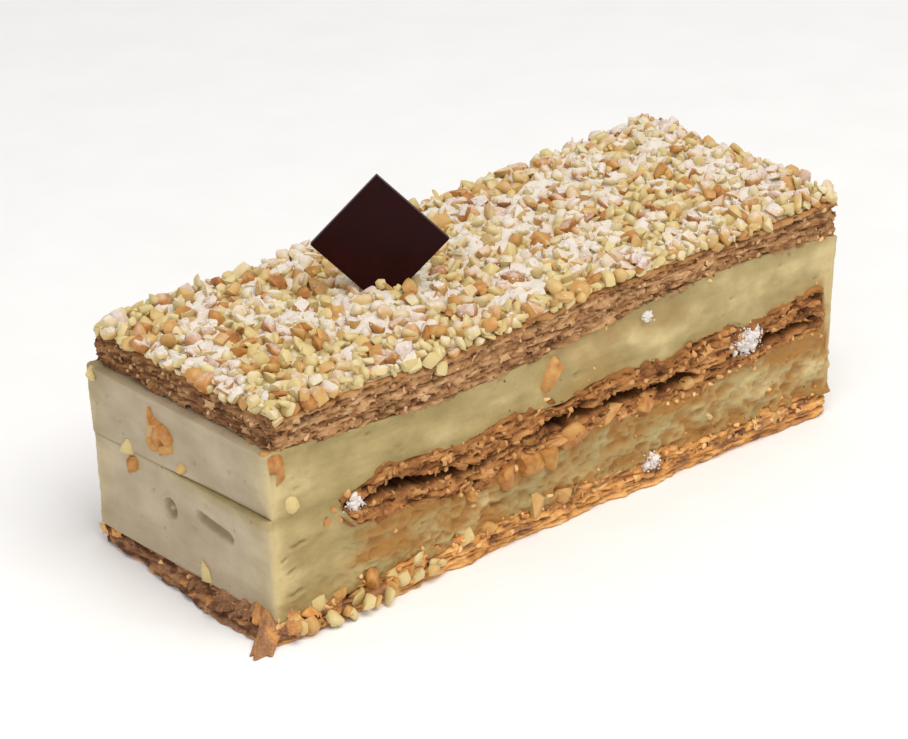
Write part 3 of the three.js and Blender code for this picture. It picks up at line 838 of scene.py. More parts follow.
# one tree scatters shapes over a surface, or sets one on each of its points, and hands each a tone
def scatterTree():
    tree = bpy.data.node_groups.new("scatterShapes", "GeometryNodeTree")
    tree.interface.new_socket(name="Geometry", in_out="OUTPUT", socket_type="NodeSocketGeometry")
    wanted = {
        "Geometry": "NodeSocketGeometry",
        "Shapes": "NodeSocketCollection",
        "Material": "NodeSocketMaterial",
        "On Points": "NodeSocketBool",
        "Stand Out": "NodeSocketBool",
        "Gap": "NodeSocketFloat",
        "Density": "NodeSocketFloat",
        "Cover": "NodeSocketString",
        "Smallest": "NodeSocketFloat",
        "Largest": "NodeSocketFloat",
        "Tilt": "NodeSocketFloat",
        "Turn": "NodeSocketFloat",
        "Lift": "NodeSocketVector",
        "Seed": "NodeSocketInt",
    }
    sockets = {}
    for name, kind in wanted.items():
        sockets[name] = tree.interface.new_socket(name=name, in_out="INPUT", socket_type=kind).identifier
    given = tree.nodes.new("NodeGroupInput").outputs
    cover = addNode(tree, "GeometryNodeInputNamedAttribute", {"Name": given["Cover"]}, data_type="FLOAT")
    spread = addNode(
        tree,
        "GeometryNodeDistributePointsOnFaces",
        {
            "Mesh": given["Geometry"],
            "Distance Min": given["Gap"],
            "Density Max": given["Density"],
            "Density Factor": cover.outputs[0],
            "Seed": given["Seed"],
        },
        distribute_method="POISSON",
    )
    corners = addNode(tree, "GeometryNodeMeshToPoints", {"Mesh": given["Geometry"]})
    places = addNode(
        tree,
        "GeometryNodeSwitch",
        {"Switch": given["On Points"], "False": spread.outputs["Points"], "True": corners.outputs["Points"]},
        input_type="GEOMETRY",
    )
    lifted = addNode(
        tree, "GeometryNodeSetPosition", {"Geometry": places.outputs[0], "Offset": given["Lift"]}
    )
    most = addNode(tree, "ShaderNodeCombineXYZ", {"X": given["Tilt"], "Y": given["Tilt"], "Z": given["Turn"]})
    least = addNode(tree, "ShaderNodeVectorMath", {0: most.outputs[0], "Scale": -1.0}, operation="SCALE")
    angles = addNode(
        tree,
        "FunctionNodeRandomValue",
        {0: least.outputs[0], 1: most.outputs[0], "Seed": given["Seed"]},
        data_type="FLOAT_VECTOR",
    )
    loose = addNode(tree, "FunctionNodeEulerToRotation", {0: angles.outputs[0]})
    facing = addNode(
        tree,
        "FunctionNodeAlignRotationToVector",
        {"Vector": spread.outputs["Normal"]},
        axis="X",
        pivot_axis="Z",
    )
    outward = addNode(
        tree,
        "FunctionNodeRotateRotation",
        {"Rotation": facing.outputs[0], "Rotate By": loose.outputs[0]},
        rotation_space="LOCAL",
    )
    turned = addNode(
        tree,
        "GeometryNodeSwitch",
        {"Switch": given["Stand Out"], "False": loose.outputs[0], "True": outward.outputs[0]},
        input_type="ROTATION",
    )
    size = addNode(
        tree,
        "FunctionNodeRandomValue",
        {2: given["Smallest"], 3: given["Largest"], "Seed": given["Seed"]},
        data_type="FLOAT",
    )
    stated = addNode(tree, "GeometryNodeInputNamedAttribute", {"Name": "size"}, data_type="FLOAT")
    scale = addNode(
        tree,
        "GeometryNodeSwitch",
        {"Switch": stated.outputs["Exists"], "False": size.outputs[1], "True": stated.outputs[0]},
        input_type="FLOAT",
    )
    shapes = addNode(
        tree,
        "GeometryNodeCollectionInfo",
        {"Collection": given["Shapes"], "Separate Children": True, "Reset Children": True},
    )
    pick = addNode(tree, "FunctionNodeRandomValue", {4: 0, 5: 60, "Seed": given["Seed"]}, data_type="INT")
    stood = addNode(
        tree,
        "GeometryNodeInstanceOnPoints",
        {
            "Points": lifted.outputs[0],
            "Instance": shapes.outputs[0],
            "Pick Instance": True,
            "Instance Index": pick.outputs[2],
            "Rotation": turned.outputs[0],
            "Scale": scale.outputs[0],
        },
    )
    chance = addNode(
        tree, "FunctionNodeRandomValue", {2: 0.0, 3: 1.0, "Seed": given["Seed"]}, data_type="FLOAT"
    )
    chosen = addNode(tree, "GeometryNodeInputNamedAttribute", {"Name": "chosenTone"}, data_type="FLOAT")
    tone = addNode(
        tree,
        "GeometryNodeSwitch",
        {"Switch": chosen.outputs["Exists"], "False": chance.outputs[1], "True": chosen.outputs[0]},
        input_type="FLOAT",
    )
    toned = addNode(
        tree,
        "GeometryNodeStoreNamedAttribute",
        {"Geometry": stood.outputs[0], "Name": "tone", "Value": tone.outputs[0]},
        data_type="FLOAT",
        domain="INSTANCE",
    )
    solid = addNode(tree, "GeometryNodeRealizeInstances", {"Geometry": toned.outputs[0]})
    dressed = addNode(
        tree, "GeometryNodeSetMaterial", {"Geometry": solid.outputs[0], "Material": given["Material"]}
    )
    addNode(tree, "NodeGroupOutput", {0: dressed.outputs[0]})
    return tree, sockets


scatter, scatterSockets = scatterTree()


def scatterOver(hostMesh, name, shapes, material, look):
    worker = bpy.data.objects.new(name + "Worker", hostMesh)
    bpy.context.scene.collection.objects.link(worker)
    modifier = worker.modifiers.new("scatter", "NODES")
    modifier.node_group = scatter
    values = {
        "Shapes": shapes,
        "Material": material,
        "On Points": look.get("onPoints", False),
        "Stand Out": look.get("standOut", False),
        "Gap": look.get("gap", 1.0) * mm,
        "Density": look.get("density", 1.0) / mm**2,
        "Cover": look.get("cover", ""),
        "Smallest": look.get("smallest", 1.0) * mm,
        "Largest": look.get("largest", 1.0) * mm,
        "Tilt": look.get("tilt", 0.5),
        "Turn": look.get("turn", math.pi),
        "Lift": [v * mm for v in look.get("lift", (0, 0, 0))],
        "Seed": look["seed"],
    }
    for key, value in values.items():
        modifier[scatterSockets[key]] = value
    graph = bpy.context.evaluated_depsgraph_get()
    mesh = bpy.data.meshes.new_from_object(worker.evaluated_get(graph), depsgraph=graph)
    mesh.name = name
    bpy.data.objects.remove(worker)
    piece = bpy.data.objects.new(name, mesh)
    bpy.context.scene.collection.objects.link(piece)
    return piece


# hosts of points in the slice's plan, each with its own size in millimetres and tone
def pointHost(name, places, sizes, tones, sugar=0.0):
    places = np.asarray(places, float)
    attributes = {
        "size": np.asarray(sizes) * mm,
        "chosenTone": np.asarray(tones),
        "sugar": np.zeros(len(places)) + sugar,
    }
    return meshOf(name, (places + planShift) * mm, np.zeros((0, 3), int), attributes)


def shapeCollection(name, meshes):
    collection = bpy.data.collections.new(name)
    for k, mesh in enumerate(meshes):
        collection.objects.link(bpy.data.objects.new(f"{name}{k:02d}", mesh))
    return collection


# broken lumps: a rough block with more flats cut on it; a higher sharpness leaves keener edges
def lumpShapes(name, look):
    draw = np.random.default_rng(look["seed"])
    meshes = []
    for k in range(look["count"]):
        work = bmesh.new()
        bmesh.ops.create_icosphere(work, subdivisions=look["detail"], radius=1.0)
        block = np.concatenate([np.eye(3), -np.eye(3)]) + look["skew"] * draw.uniform(-1, 1, (6, 3))
        flats = np.concatenate([block, draw.normal(size=(look["flats"], 3))])
        flats /= np.linalg.norm(flats, axis=1)[:, None]
        depths = np.concatenate([draw.uniform(*look["depth"], 6), draw.uniform(0.7, 0.95, look["flats"])])
        stretch = draw.uniform(*look["stretch"], 3)
        for vertex in work.verts:
            way = np.array(vertex.co.normalized())
            steep = np.maximum(flats @ way / depths, 0.0)
            reach = np.sum(steep ** look["sharpness"]) ** (-1 / look["sharpness"])
            vertex.co = way * reach * stretch * (1 + draw.uniform(-1, 1) * look["rough"])
        mesh = bpy.data.meshes.new(f"{name}{k}")
        work.to_mesh(mesh)
        work.free()
        mesh.polygons.foreach_set("use_smooth", np.ones(len(mesh.polygons), bool))
        meshes.append(mesh)
    return shapeCollection(name, meshes)


# thin torn scraps of leaf, lying across x
def scrapShapes(name, look):
    draw = np.random.default_rng(look["seed"])
    meshes = []
    for k in range(look["count"]):
        u, v = np.meshgrid(np.linspace(-1, 1, 6), np.linspace(-1, 1, 4), indexing="ij")
        ragged = 1 + 0.25 * draw.uniform(-1, 1, u.shape)
        bend = draw.uniform(0.1, 0.5)
        upper = np.stack([bend * (u**2 + 0.4 * v) * 0.6, u * ragged, 0.6 * v * ragged], -1)
        upper[..., 0] += 0.08 * draw.uniform(-1, 1, u.shape)
        lower = upper - np.array([look["thickness"], 0, 0])
        points, faces = closedSlab(upper, lower)
        meshes.append(meshOf(f"{name}{k}", points, faces))
    return shapeCollection(name, meshes)


# chopped chips: the hull of a block with its corners knocked about, its edges worn a little round
def chipShapes(name, look):
    draw = np.random.default_rng(look["seed"])
    corners = np.array([(x, y, z) for x in (-1, 1) for y in (-1, 1) for z in (-1, 1)], float)
    meshes = []
    for k in range(look["count"]):
        spots = corners[draw.permutation(8)[: draw.integers(5, 9)]] * draw.uniform(0.45, 1, (1, 3))
        spots = spots * draw.uniform(0.6, 1, spots.shape)
        spots = np.concatenate([spots, 0.6 * draw.normal(size=(look["knobs"], 3))])
        spots *= np.array([1.0, draw.uniform(*look["breadth"]), draw.uniform(*look["height"])])
        work = bmesh.new()
        for spot in spots:
            work.verts.new(spot)
        hull = bmesh.ops.convex_hull(work, input=work.verts)
        inside = hull["geom_interior"] + hull["geom_unused"]
        loose = [part for part in inside if isinstance(part, bmesh.types.BMVert)]
        bmesh.ops.delete(work, geom=list(set(loose)), context="VERTS")
        bmesh.ops.subdivide_edges(work, edges=work.edges, cuts=1, use_grid_fill=True)
        bmesh.ops.smooth_vert(
            work, verts=work.verts, factor=look["worn"], use_axis_x=True, use_axis_y=True, use_axis_z=True
        )
        bmesh.ops.triangulate(work, faces=work.faces)
        bmesh.ops.recalc_face_normals(work, faces=work.faces)
        reach = max(max(abs(part) for part in vertex.co) for vertex in work.verts)
        work.transform(Matrix.Scale(1 / reach, 4))
        mesh = bpy.data.meshes.new(f"{name}{k}")
        work.to_mesh(mesh)
        work.free()
        mesh.polygons.foreach_set("use_smooth", np.ones(len(mesh.polygons), bool))
        mesh.set_sharp_from_angle(angle=math.radians(look["keen"]))
        meshes.append(mesh)
    return shapeCollection(name, meshes)


nutShape = {
    "count": 24, "knobs": 5, "breadth": (0.6, 0.95), "height": (0.5, 0.85),
    "worn": 0.5,  # how far the edges are rounded
    "keen": 52,  # edges above this angle stay sharp
    "seed": 21,
}
grainShape = {
    "count": 6, "detail": 1, "flats": 2, "skew": 0.5, "depth": (0.6, 0.9), "stretch": (0.8, 1.2),
    "sharpness": 6, "rough": 0.2, "seed": 22,
}
crumbShape = {
    "count": 8, "detail": 2, "flats": 4, "skew": 0.5, "depth": (0.5, 0.9), "stretch": (0.6, 1.3),
    "sharpness": 12, "rough": 0.14, "seed": 23,
}
nutShapes = chipShapes("nutShape", nutShape)
grainShapes = lumpShapes("grainShape", grainShape)
crumbShapes = lumpShapes("crumbShape", crumbShape)
scrapShapeSet = scrapShapes("scrapShape", {"count": 8, "thickness": 0.14, "seed": 24})

# Crumbs and scraps of leaf clinging to the cut pastry; each row ends with the values that scatterKeys names
scatterKeys = ("gap", "density", "smallest", "largest", "tilt", "seed")
wallScatter = [
    (topPiece, topPastry, "topPastryCrumbs", crumbShapes, (1.7, 0.35, 0.25, 0.7, 3.1, 31)),
    (topPiece, topPastry, "topPastryScraps", scrapShapeSet, (3.0, 0.05, 0.7, 1.5, 0.35, 32)),
    (middlePiece, middlePastry, "middlePastryCrumbs", crumbShapes, (1.8, 0.25, 0.3, 0.9, 3.1, 33)),
    (middlePiece, middlePastry, "middlePastryScraps", scrapShapeSet, (3.2, 0.1, 0.8, 1.8, 0.6, 34)),
    (basePiece, basePastry, "basePastryCrumbs", crumbShapes, (2.2, 0.25, 0.3, 0.9, 3.1, 35)),
    (basePiece, basePastry, "basePastryScraps", scrapShapeSet, (2.8, 0.2, 0.9, 2.3, 0.4, 36)),
]
for host, material, name, shapes, row in wallScatter:
    look = {**dict(zip(scatterKeys, row)), "cover": "flaky", "standOut": True, "turn": 0.4}
    standFor(scatterOver(host.data, name, shapes, material, look), "pastry")
creamCrumbs = {
    "gap": 1.5, "density": 0.4, "smallest": 0.2, "largest": 0.8, "tilt": 3.1,
    "cover": "crumbed", "seed": 37,
}
for host, name in ((lowerPiece, "lowerCreamCrumbs"), (upperPiece, "upperCreamCrumbs")):
    standFor(scatterOver(host.data, name, crumbShapes, basePastry, creamCrumbs), "pastry")
print("crumbs and scraps scattered")

# Crust of nuts: a low bed with nuts crowded on it, a looser second layer and the sugar sifted over them
nutBed = {
    "inset": 1.4,
    "reach": 0.3,
    "height": 1.2,
    "grid": 0.8,
    "heap": {"rise": 3.0, "from": 15.0, "to": 60.0},
    "bank": {"at": (-30.0, -5.0), "rise": 3.2, "wide": 9.0},  # nuts banked up round the plaque's foot
}
nutCrowd = {
    "gap": 3.2, "density": 0.5, "smallest": 1.8, "largest": 2.9, "tilt": 0.9,
    "cover": "bed", "lift": (0, 0, 0.9), "seed": 11,
}
nutSmall = {
    "gap": 3.6, "density": 0.3, "smallest": 0.8, "largest": 1.4, "tilt": 1.5,
    "cover": "bed", "lift": (0, 0, 1.5), "seed": 14,
}
nutUpper = {
    "gap": 5.4, "density": 0.2, "smallest": 1.7, "largest": 2.6, "tilt": 0.9,
    "cover": "bed", "lift": (0, 0, 2.3), "seed": 12,
}
sugarGrains = {
    "gap": 0.45, "density": 4.0, "smallest": 0.14, "largest": 0.36, "tilt": 3.1,
    "cover": "settled", "seed": 13,
}


# how far in from the nearest edge of the top sheet
def edgeAway(x, y):
    return np.minimum(np.minimum(x - topEnds[0], topEnds[1] - x), slicePlan["width"] / 2 - np.abs(y))


def heapAt(x, y):
    heap = nutBed["heap"]
    bank = nutBed["bank"]
    away = np.hypot(x - bank["at"][0], y - bank["at"][1]) / bank["wide"]
    slope = heap["rise"] * eased(x, heap["from"], heap["to"]) * (0.5 + y / slicePlan["width"])
    return slope * eased(edgeAway(x, y), -1.0, 7.0) + bank["rise"] * np.exp(-(away**2))


def sugarAt(x, y):
    patch = roughNoise(x / 5.5 + 40, y / 5.0 + 40, 61, 3)
    return np.clip(0.32 + 1.1 * patch + 0.12 * eased(x, -80, 40), 0, 0.7)


# powder drifts up between the nuts on the bed that shows, and is left out of the one that carries them
def bedGrid(inset, powder):
    half = slicePlan["width"] / 2 - inset
    x = np.linspace(topEnds[0] + inset, topEnds[1] - inset, int((topEnds[1] - topEnds[0]) / nutBed["grid"]))
    y = np.linspace(-half, half, int(2 * half / nutBed["grid"]))
    gridX, gridY = np.meshgrid(x, y, indexing="ij")
    floor = heightAt("topTop", gridX)
    sugar = sugarAt(gridX, gridY)
    drift = 0.4 + 1.7 * sugar + 1.0 * roughNoise(gridX / 2.2, gridY / 2.2, 62, 3)
    raised = nutBed["height"] + heapAt(gridX, gridY) + powder * drift
    if powder:
        raised = 0.3 + (raised - 0.3) * eased(edgeAway(gridX, gridY), inset, inset + 3.5)
    roof = floor + raised
    points, faces = closedSlab(np.stack([gridX, gridY, roof], -1), np.stack([gridX, gridY, floor], -1))
    sugar = np.tile(np.clip(sugar * (1 + powder), 0, 1).ravel(), 2)
    isTop = np.repeat([1.0, 0.0], gridX.size)
    return points, faces, {"sugar": sugar, "bed": isTop, "tone": 0.5 + 0 * sugar}


bedPoints, bedFaces, bedAttributes = bedGrid(nutBed["inset"], 1)
standFor(makePiece("nutBed", bedPoints, bedFaces, nutFlesh, bedAttributes), "nuts", "nut_topping")
# the nuts go on to the edges of the pastry, past the bed
hostPoints, hostFaces, hostAttributes = bedGrid(nutBed["reach"], 0)
nutHost = meshOf("nutHost", (hostPoints + planShift) * mm, hostFaces, hostAttributes)
crowdPiece = scatterOver(nutHost, "choppedNuts", nutShapes, nutFlesh, nutCrowd)
smallNuts = scatterOver(nutHost, "choppedNutsSmall", nutShapes, nutFlesh, nutSmall)
upperNuts = scatterOver(nutHost, "choppedNutsUpper", nutShapes, nutFlesh, nutUpper)


# nuts along the rim of the sheet, some hanging over its edge
def rimNuts(look):
    rim = rimOf(topEnds, slicePlan["width"], cornerRound["pastry"], look["step"])
    draw = np.random.default_rng(look["seed"])
    count = len(rim["x"])
    back = draw.uniform(*look["back"], count)
    x = rim["x"] - back * rim["outX"]
    y = rim["y"] - back * rim["outY"]
    z = heightAt("topTop", x) + heapAt(x, y) + 0.5 + 0.5 * back
    sizes = draw.uniform(*look["sizes"], count)
    tones = draw.uniform(0, 1, count) ** 1.2
    return pointHost("rimPlaces", np.stack([x, y, z], -1), sizes, tones, sugarAt(x, y))


rimLook = {"step": 2.8, "back": (0.3, 2.2), "sizes": (1.3, 2.2), "onPoints": True, "tilt": 1.2, "seed": 15}
edgeNuts = scatterOver(rimNuts(rimLook), "choppedNutsEdge", nutShapes, nutFlesh, rimLook)
for piece in (crowdPiece, smallNuts, upperNuts, edgeNuts):
    standFor(piece, "nuts", "nut_topping")
print("nuts spread")


# sugar settles on what looks up, where the sifting was heavy
def settleSugar(mesh):
    count = len(mesh.vertices)
    normals = np.empty(3 * count, np.float32)
    mesh.vertex_normals.foreach_get("vector", normals)
    sugar = np.empty(count, np.float32)
    mesh.attributes["sugar"].data.foreach_get("value", sugar)
    layer = mesh.attributes.new("settled", "FLOAT", "POINT")
    layer.data.foreach_set("value", sugar**2 * np.clip(normals[2::3], 0, 1) ** 1.2)


for host, name in ((crowdPiece, "icingSugarLow"), (upperNuts, "icingSugarHigh")):
    settleSugar(host.data)
    standFor(scatterOver(host.data, name, grainShapes, sugarPowder, sugarGrains), "nuts")
print("sugar sifted")

# Nuts away from the crust: pressed into the faces, and spilled round the foot.
# Along the face, height, size and tone.
halfWidth = slicePlan["width"] / 2
halfLength = slicePlan["length"] / 2
onFrontFace = [
    (-4.7, 40.2, 5.0, 0.9), (-12.5, 19.4, 4.6, 0.94), (-6.7, 20.2, 5.2, 0.9), (2.0, 21.4, 4.4, 0.93),
    (13.5, 23.0, 3.6, 0.88), (-83.8, 32.5, 3.4, 0.55), (-39.5, 52.6, 2.6, 0.3), (44.4, 54.6, 2.0, 0.45),
    (-41.8, 55.8, 2.4, 0.3), (-33.1, 7.5, 3.0, 0.6), (-47.4, 5.4, 2.8, 0.35), (-11.2, 7.8, 3.4, 0.8),
    (-61.1, 5.2, 3.8, 0.93), (-72.0, 5.0, 3.0, 0.86), (-78.0, 4.8, 3.0, 0.4), (-66.5, 3.6, 2.6, 0.8),
    (-55.5, 4.4, 2.6, 0.6), (-26.0, 6.6, 2.4, 0.86), (47.0, 12.5, 1.6, 0.5), (-72.5, 27.6, 1.5, 0.9),
    (-74.2, 25.2, 1.2, 0.95), (-70.6, 24.0, 1.7, 0.85), (-68.5, 30.6, 1.4, 0.9), (-20.0, 18.4, 3.4, 0.95),
    (-30.0, 17.4, 2.2, 0.9), (-88.2, 44.4, 3.4, 0.95), (-87.4, 41.2, 2.8, 0.93), (25.0, 22.4, 3.4, 0.92),
    (40.0, 23.4, 2.2, 0.86), (-2.0, 8.0, 2.4, 0.82),
]
onLeftEnd = [
    (10.0, 41.6, 3.2, 0.95), (7.0, 41.4, 3.4, 0.92), (8.6, 38.6, 3.0, 0.8), (5.2, 39.0, 3.4, 0.96),
    (3.4, 36.8, 3.0, 0.88), (6.6, 36.2, 2.8, 0.92), (2.6, 39.4, 2.8, 0.94), (19.6, 30.4, 2.9, 0.4),
    (18.2, 26.8, 2.9, 0.96), (-28.5, 29.5, 2.2, 0.98), (-8.4, 8.2, 3.0, 0.5), (32.0, 46.0, 2.0, 0.5),
    (-1.5, 33.0, 1.9, 0.7),
]
spilled = {"count": 20, "from": -88.0, "to": -40.0, "reach": 4.2, "sizes": (1.7, 2.7), "seed": 41}


# both creams lean out on the left end, the upper one further
def leftWallAt(z):
    if z < creamJoin["at"]:
        return -halfLength - lowerLean["left"][1] * z / creamJoin["at"]
    return -halfLength - upperLean["left"][0] - 0.055 * (z - creamJoin["at"])


def pressedNuts():
    places = [(x, -halfWidth + 0.3 * size, z) for x, z, size, _ in onFrontFace]
    places += [(leftWallAt(z) + 0.15 * size, y, z) for y, z, size, _ in onLeftEnd]
    sizes = [piece[2] for piece in onFrontFace + onLeftEnd]
    tones = [piece[3] for piece in onFrontFace + onLeftEnd]
    draw = np.random.default_rng(spilled["seed"])
    for k in range(spilled["count"]):
        run = (spilled["to"] - spilled["from"]) * (k + draw.uniform(0, 0.8)) / spilled["count"]
        x = spilled["from"] + run
        size = draw.uniform(*spilled["sizes"])
        out = draw.uniform(0, spilled["reach"]) * (1 - eased(x, -60, -30))
        places.append((x, -halfWidth - out, max(size, 4.2 - 0.75 * out)))
        sizes.append(size)
        tones.append(draw.uniform(0.1, 0.95))
    return pointHost("pressedPlaces", places, sizes, tones)


pressed = {"onPoints": True, "tilt": 3.1, "seed": 46}
standFor(scatterOver(pressedNuts(), "pressedNuts", nutShapes, nutFlesh, pressed), "nuts")

# Lumps of icing sugar caught in the pastry and along the base: x, height, reach and how many grains
sugarLumps = [(-66.0, 27.3, 1.2, 110), (60.4, 28.8, 2.3, 300), (25.9, 46.0, 0.7, 40), (27.4, 6.6, 1.5, 130)]


def lumpGrains(kind):
    draw = np.random.default_rng(kind["seed"])
    places, sizes = [], []
    for x, z, reach, count in sugarLumps:
        some = count // kind["oneIn"]
        spread = draw.normal(size=(some, 3)) * np.array([reach, 0.4, 0.75 * reach]) * kind["spread"]
        places.append(np.array([x, -halfWidth + kind["sunk"], z]) + spread)
        sizes.append(draw.uniform(*kind["sizes"], some))
    places = np.concatenate(places)
    return pointHost(kind["name"] + "Places", places, np.concatenate(sizes), np.zeros(len(places)))


coarseGrains = {
    "name": "sugarLumps", "oneIn": 4, "spread": 0.75, "sunk": 0.5, "sizes": (0.6, 1.4), "seed": 52,
}
fineGrains = {
    "name": "sugarDust", "oneIn": 1, "spread": 0.95, "sunk": 0.0, "sizes": (0.15, 0.4), "seed": 53,
}
for kind, shapes in ((coarseGrains, crumbShapes), (fineGrains, grainShapes)):
    look = {**pressed, "seed": kind["seed"]}
    standFor(scatterOver(lumpGrains(kind), kind["name"], shapes, sugarPowder, look), "nuts")
print("nuts pressed in and sugar lumps set")

# Torn leaves standing off the base: root, which way it points, how far it dips, its length and width
tornLeaves = [
    {"root": (-87.0, -31.0, 7.4), "turn": -148, "dip": 33, "long": 12.5, "wide": 7.0, "tone": 0.27},
    {"root": (-86.5, -28.0, 8.6), "turn": -165, "dip": 30, "long": 7.5, "wide": 7.0, "tone": 0.3},
    {"root": (-84.5, -33.0, 7.4), "turn": -112, "dip": 38, "long": 7.0, "wide": 5.0, "tone": 0.4},
    {"root": (-88.0, -24.0, 7.0), "turn": -176, "dip": 34, "long": 7.0, "wide": 6.0, "tone": 0.2},
    {"root": (-88.5, -17.0, 5.8), "turn": 170, "dip": 26, "long": 5.6, "wide": 6.5, "tone": 0.16},
    {"root": (-88.5, -5.0, 5.0), "turn": 186, "dip": 24, "long": 4.6, "wide": 7.0, "tone": 0.12},
    {"root": (-80.0, -33.5, 5.6), "turn": -95, "dip": 30, "long": 4.6, "wide": 6.0, "tone": 0.4},
]


# a crumpled leaf with a frayed tip, resting on the floor where it comes down that far
def tornLeaf(k, leaf):
    columns, lines = 26, 18
    u, v = np.meshgrid(np.linspace(0, 1, columns), np.linspace(-0.5, 0.5, lines), indexing="ij")
    frayed = 1 + 0.3 * softNoise(v * 3 + 9, 0 * v + k, 71) + 0.15 * softNoise(v * 8 + 9, 0 * v + k, 72)
    along = u * leaf["long"] * frayed
    across = v * leaf["wide"] * (1 - 0.35 * u + 0.3 * softNoise(u * 4, 0 * u + k, 73))
    lift = 1.3 * roughNoise(along / 3.4, across / 2.6, 74 + k, 3) - 3.0 * np.abs(v + 0.1) + 0.8
    upper = np.stack([along, across, lift + 0.3], -1)
    lower = np.stack([along, across, lift - 0.5 * (1 - 0.5 * u)], -1)
    points, faces = closedSlab(upper, lower)
    turn = Matrix.Rotation(math.radians(leaf["turn"]), 3, "Z")
    dip = Matrix.Rotation(math.radians(leaf["dip"]), 3, "Y")
    points = points @ np.array(turn @ dip).T + np.array(leaf["root"])
    lowest = np.repeat([0.5, 0.05], upper.shape[0] * upper.shape[1])
    points[:, 2] = np.maximum(points[:, 2], lowest)
    tone = leaf["tone"] + 0.14 * roughNoise(points[:, 0] / 2.5, points[:, 1] / 2.5, 75 + k, 2)
    return points, faces, tone


def tornPiece():
    points, faces, tones = [], [], []
    total = 0
    for k, leaf in enumerate(tornLeaves):
        some, ring, tone = tornLeaf(k, leaf)
        points.append(some)
        faces.append(ring + total)
        tones.append(tone)
        total += len(some)
    attributes = {"tone": np.concatenate(tones)}
    return makePiece("tornBaseLeaves", np.concatenate(points), np.concatenate(faces), basePastry, attributes)


standFor(tornPiece(), "pastry", "base_pastry")
print("torn leaves set")

# Chocolate plaque: a square tablet stood on one corner in the nuts
plaque = {
    "side": 23.4,
    "thickness": 2.0,
    "edge": 0.25,
    "foot": (-30.0, -2.6),
    "rise": 0.45,
    "turn": -39.7,
    "lean": 3.5,
    "roll": 0.8,
}


def plaquePiece():
    work = bmesh.new()
    bmesh.ops.create_cube(work, size=1.0)
    bmesh.ops.scale(work, vec=(plaque["side"], plaque["side"], plaque["thickness"]), verts=work.verts)
    bmesh.ops.bevel(work, geom=work.edges, offset=plaque["edge"], segments=3, affect="EDGES", profile=0.5)
    footX, footY = plaque["foot"]
    work.transform(
        Matrix.Translation((footX, footY, heightAt("topTop", footX) + plaque["rise"]))
        @ Matrix.Rotation(math.radians(plaque["turn"]), 4, "Z")
        @ Matrix.Rotation(math.radians(90 - plaque["lean"]), 4, "X")
        @ Matrix.Rotation(math.radians(plaque["roll"]), 4, "Z")
        @ Matrix.Translation((0, plaque["side"] / math.sqrt(2), 0))
        @ Matrix.Rotation(math.radians(45), 4, "Z")
    )
    work.transform(Matrix.Translation((*slicePlan["middle"], 0)))
    work.transform(Matrix.Scale(mm, 4))
    mesh = bpy.data.meshes.new("chocolateTablet")
    work.to_mesh(mesh)
    work.free()
    mesh.materials.append(chocolate)
    piece = bpy.data.objects.new("chocolateTablet", mesh)
    bpy.context.scene.collection.objects.link(piece)
    return piece


standFor(plaquePiece(), "chocolate", "chocolate_plaque")
print("plaque stood")

# Camera at the photograph's angle, for a frame of 908 by 739
view = {
    "frame": (908, 739),
    "focalPixels": 3600.0,
    "azimuth": -39.74,
    "elevation": 24.56,
    "roll": -1.63,
    "distance": 885.8,
    "target": (-5.45, 1.18, 30.0),
}


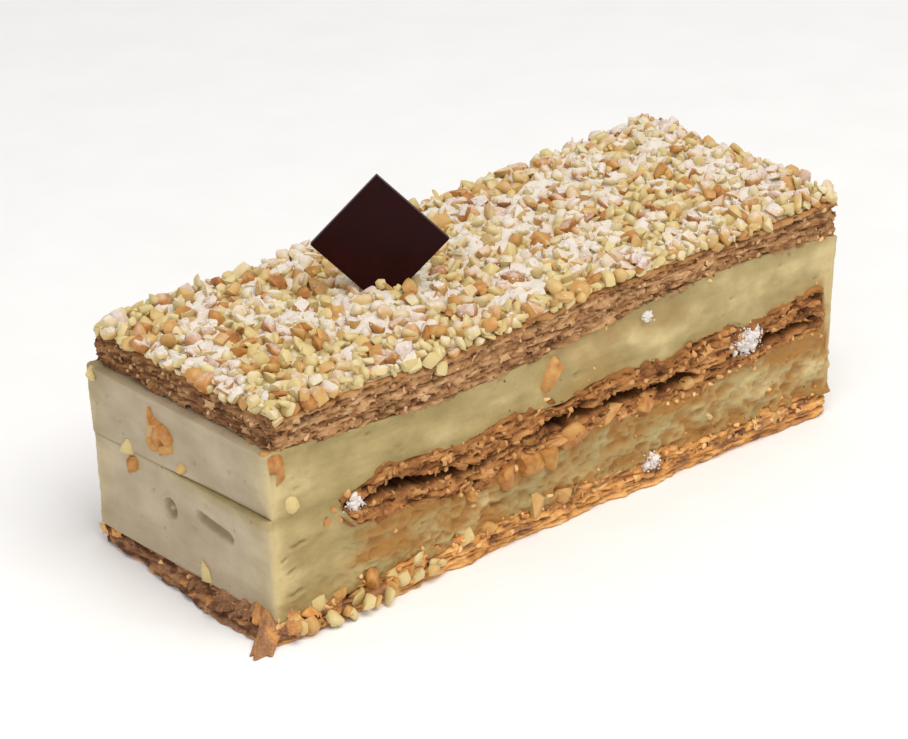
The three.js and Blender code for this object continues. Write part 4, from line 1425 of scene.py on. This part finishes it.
def addCamera():
    azimuth, elevation, roll = (math.radians(view[k]) for k in ("azimuth", "elevation", "roll"))
    back = Vector((
        math.sin(azimuth) * math.cos(elevation), -math.cos(azimuth) * math.cos(elevation), math.sin(elevation)
    ))
    right = (-back).cross(Vector((0, 0, 1))).normalized()
    up = right.cross(-back)
    rolledRight = math.cos(roll) * right + math.sin(roll) * up
    rolledUp = math.cos(roll) * up - math.sin(roll) * right
    target = Vector(view["target"]) + Vector((*slicePlan["middle"], 0))
    place = (target + back * view["distance"]) * mm
    data = bpy.data.cameras.new("photoCamera")
    data.sensor_fit = "HORIZONTAL"
    data.sensor_width = 36.0
    data.lens = 36.0 * view["focalPixels"] / view["frame"][0]
    data.clip_start = 0.05
    camera = bpy.data.objects.new("photoCamera", data)
    turned = Matrix((rolledRight, rolledUp, back)).transposed().to_4x4()
    camera.matrix_world = Matrix.Translation(place) @ turned
    bpy.context.scene.collection.objects.link(camera)
    bpy.context.scene.camera = camera


addCamera()

# Soft studio light and a pale floor
studio = {
    "world": 0.58,
    "key": {"at": (0.0, -0.45, 0.95), "size": 0.8, "watts": 7.8, "colour": "#fffaf3"},
    "fill": {"at": (-0.9, -0.5, 0.5), "size": 0.8, "watts": 2.4, "colour": "#f4f6ff"},
}


def addSoftbox(name, box):
    data = bpy.data.lights.new(name, "AREA")
    data.shape = "SQUARE"
    data.size = box["size"]
    data.energy = box["watts"]
    data.color = linear(box["colour"])[:3]
    lamp = bpy.data.objects.new(name, data)
    lamp.location = box["at"]
    aim = Vector((0, 0, 0.03)) - Vector(box["at"])
    lamp.rotation_euler = aim.to_track_quat("-Z", "Y").to_euler()
    bpy.context.scene.collection.objects.link(lamp)


for name in ("key", "fill"):
    addSoftbox(name + "Softbox", studio[name])
world = bpy.data.worlds.new("studioWorld")
world.use_nodes = True
world.node_tree.nodes["Background"].inputs["Color"].default_value = (1, 1, 1, 1)
world.node_tree.nodes["Background"].inputs["Strength"].default_value = studio["world"]
bpy.context.scene.world = world
bpy.context.scene.view_settings.view_transform = "Standard"

floorMaterial, floorTree = newMaterial("paleFloor")
floorPlace = addNode(floorTree, "ShaderNodeTexCoord").outputs["Object"]
floorNoise = addNode(floorTree, "ShaderNodeTexNoise", {"Vector": floorPlace, "Scale": 40.0})
floorColour = rampOf(floorTree, floorNoise.outputs["Fac"], [(0.3, "#f6f6f6"), (0.7, "#f9f9f9")])
finishMaterial(
    floorTree, addNode(floorTree, "ShaderNodeBsdfPrincipled", {"Base Color": floorColour, "Roughness": 0.9})
)
floorMesh = meshOf("studioFloor", [(-4, -4, 0), (4, -4, 0), (4, 4, 0), (-4, 4, 0)], [(0, 1, 2, 3)])
floorMesh.materials.append(floorMaterial)
floorPiece = bpy.data.objects.new("studioFloor", floorMesh)
bpy.context.scene.collection.objects.link(floorPiece)
print("studio lit")
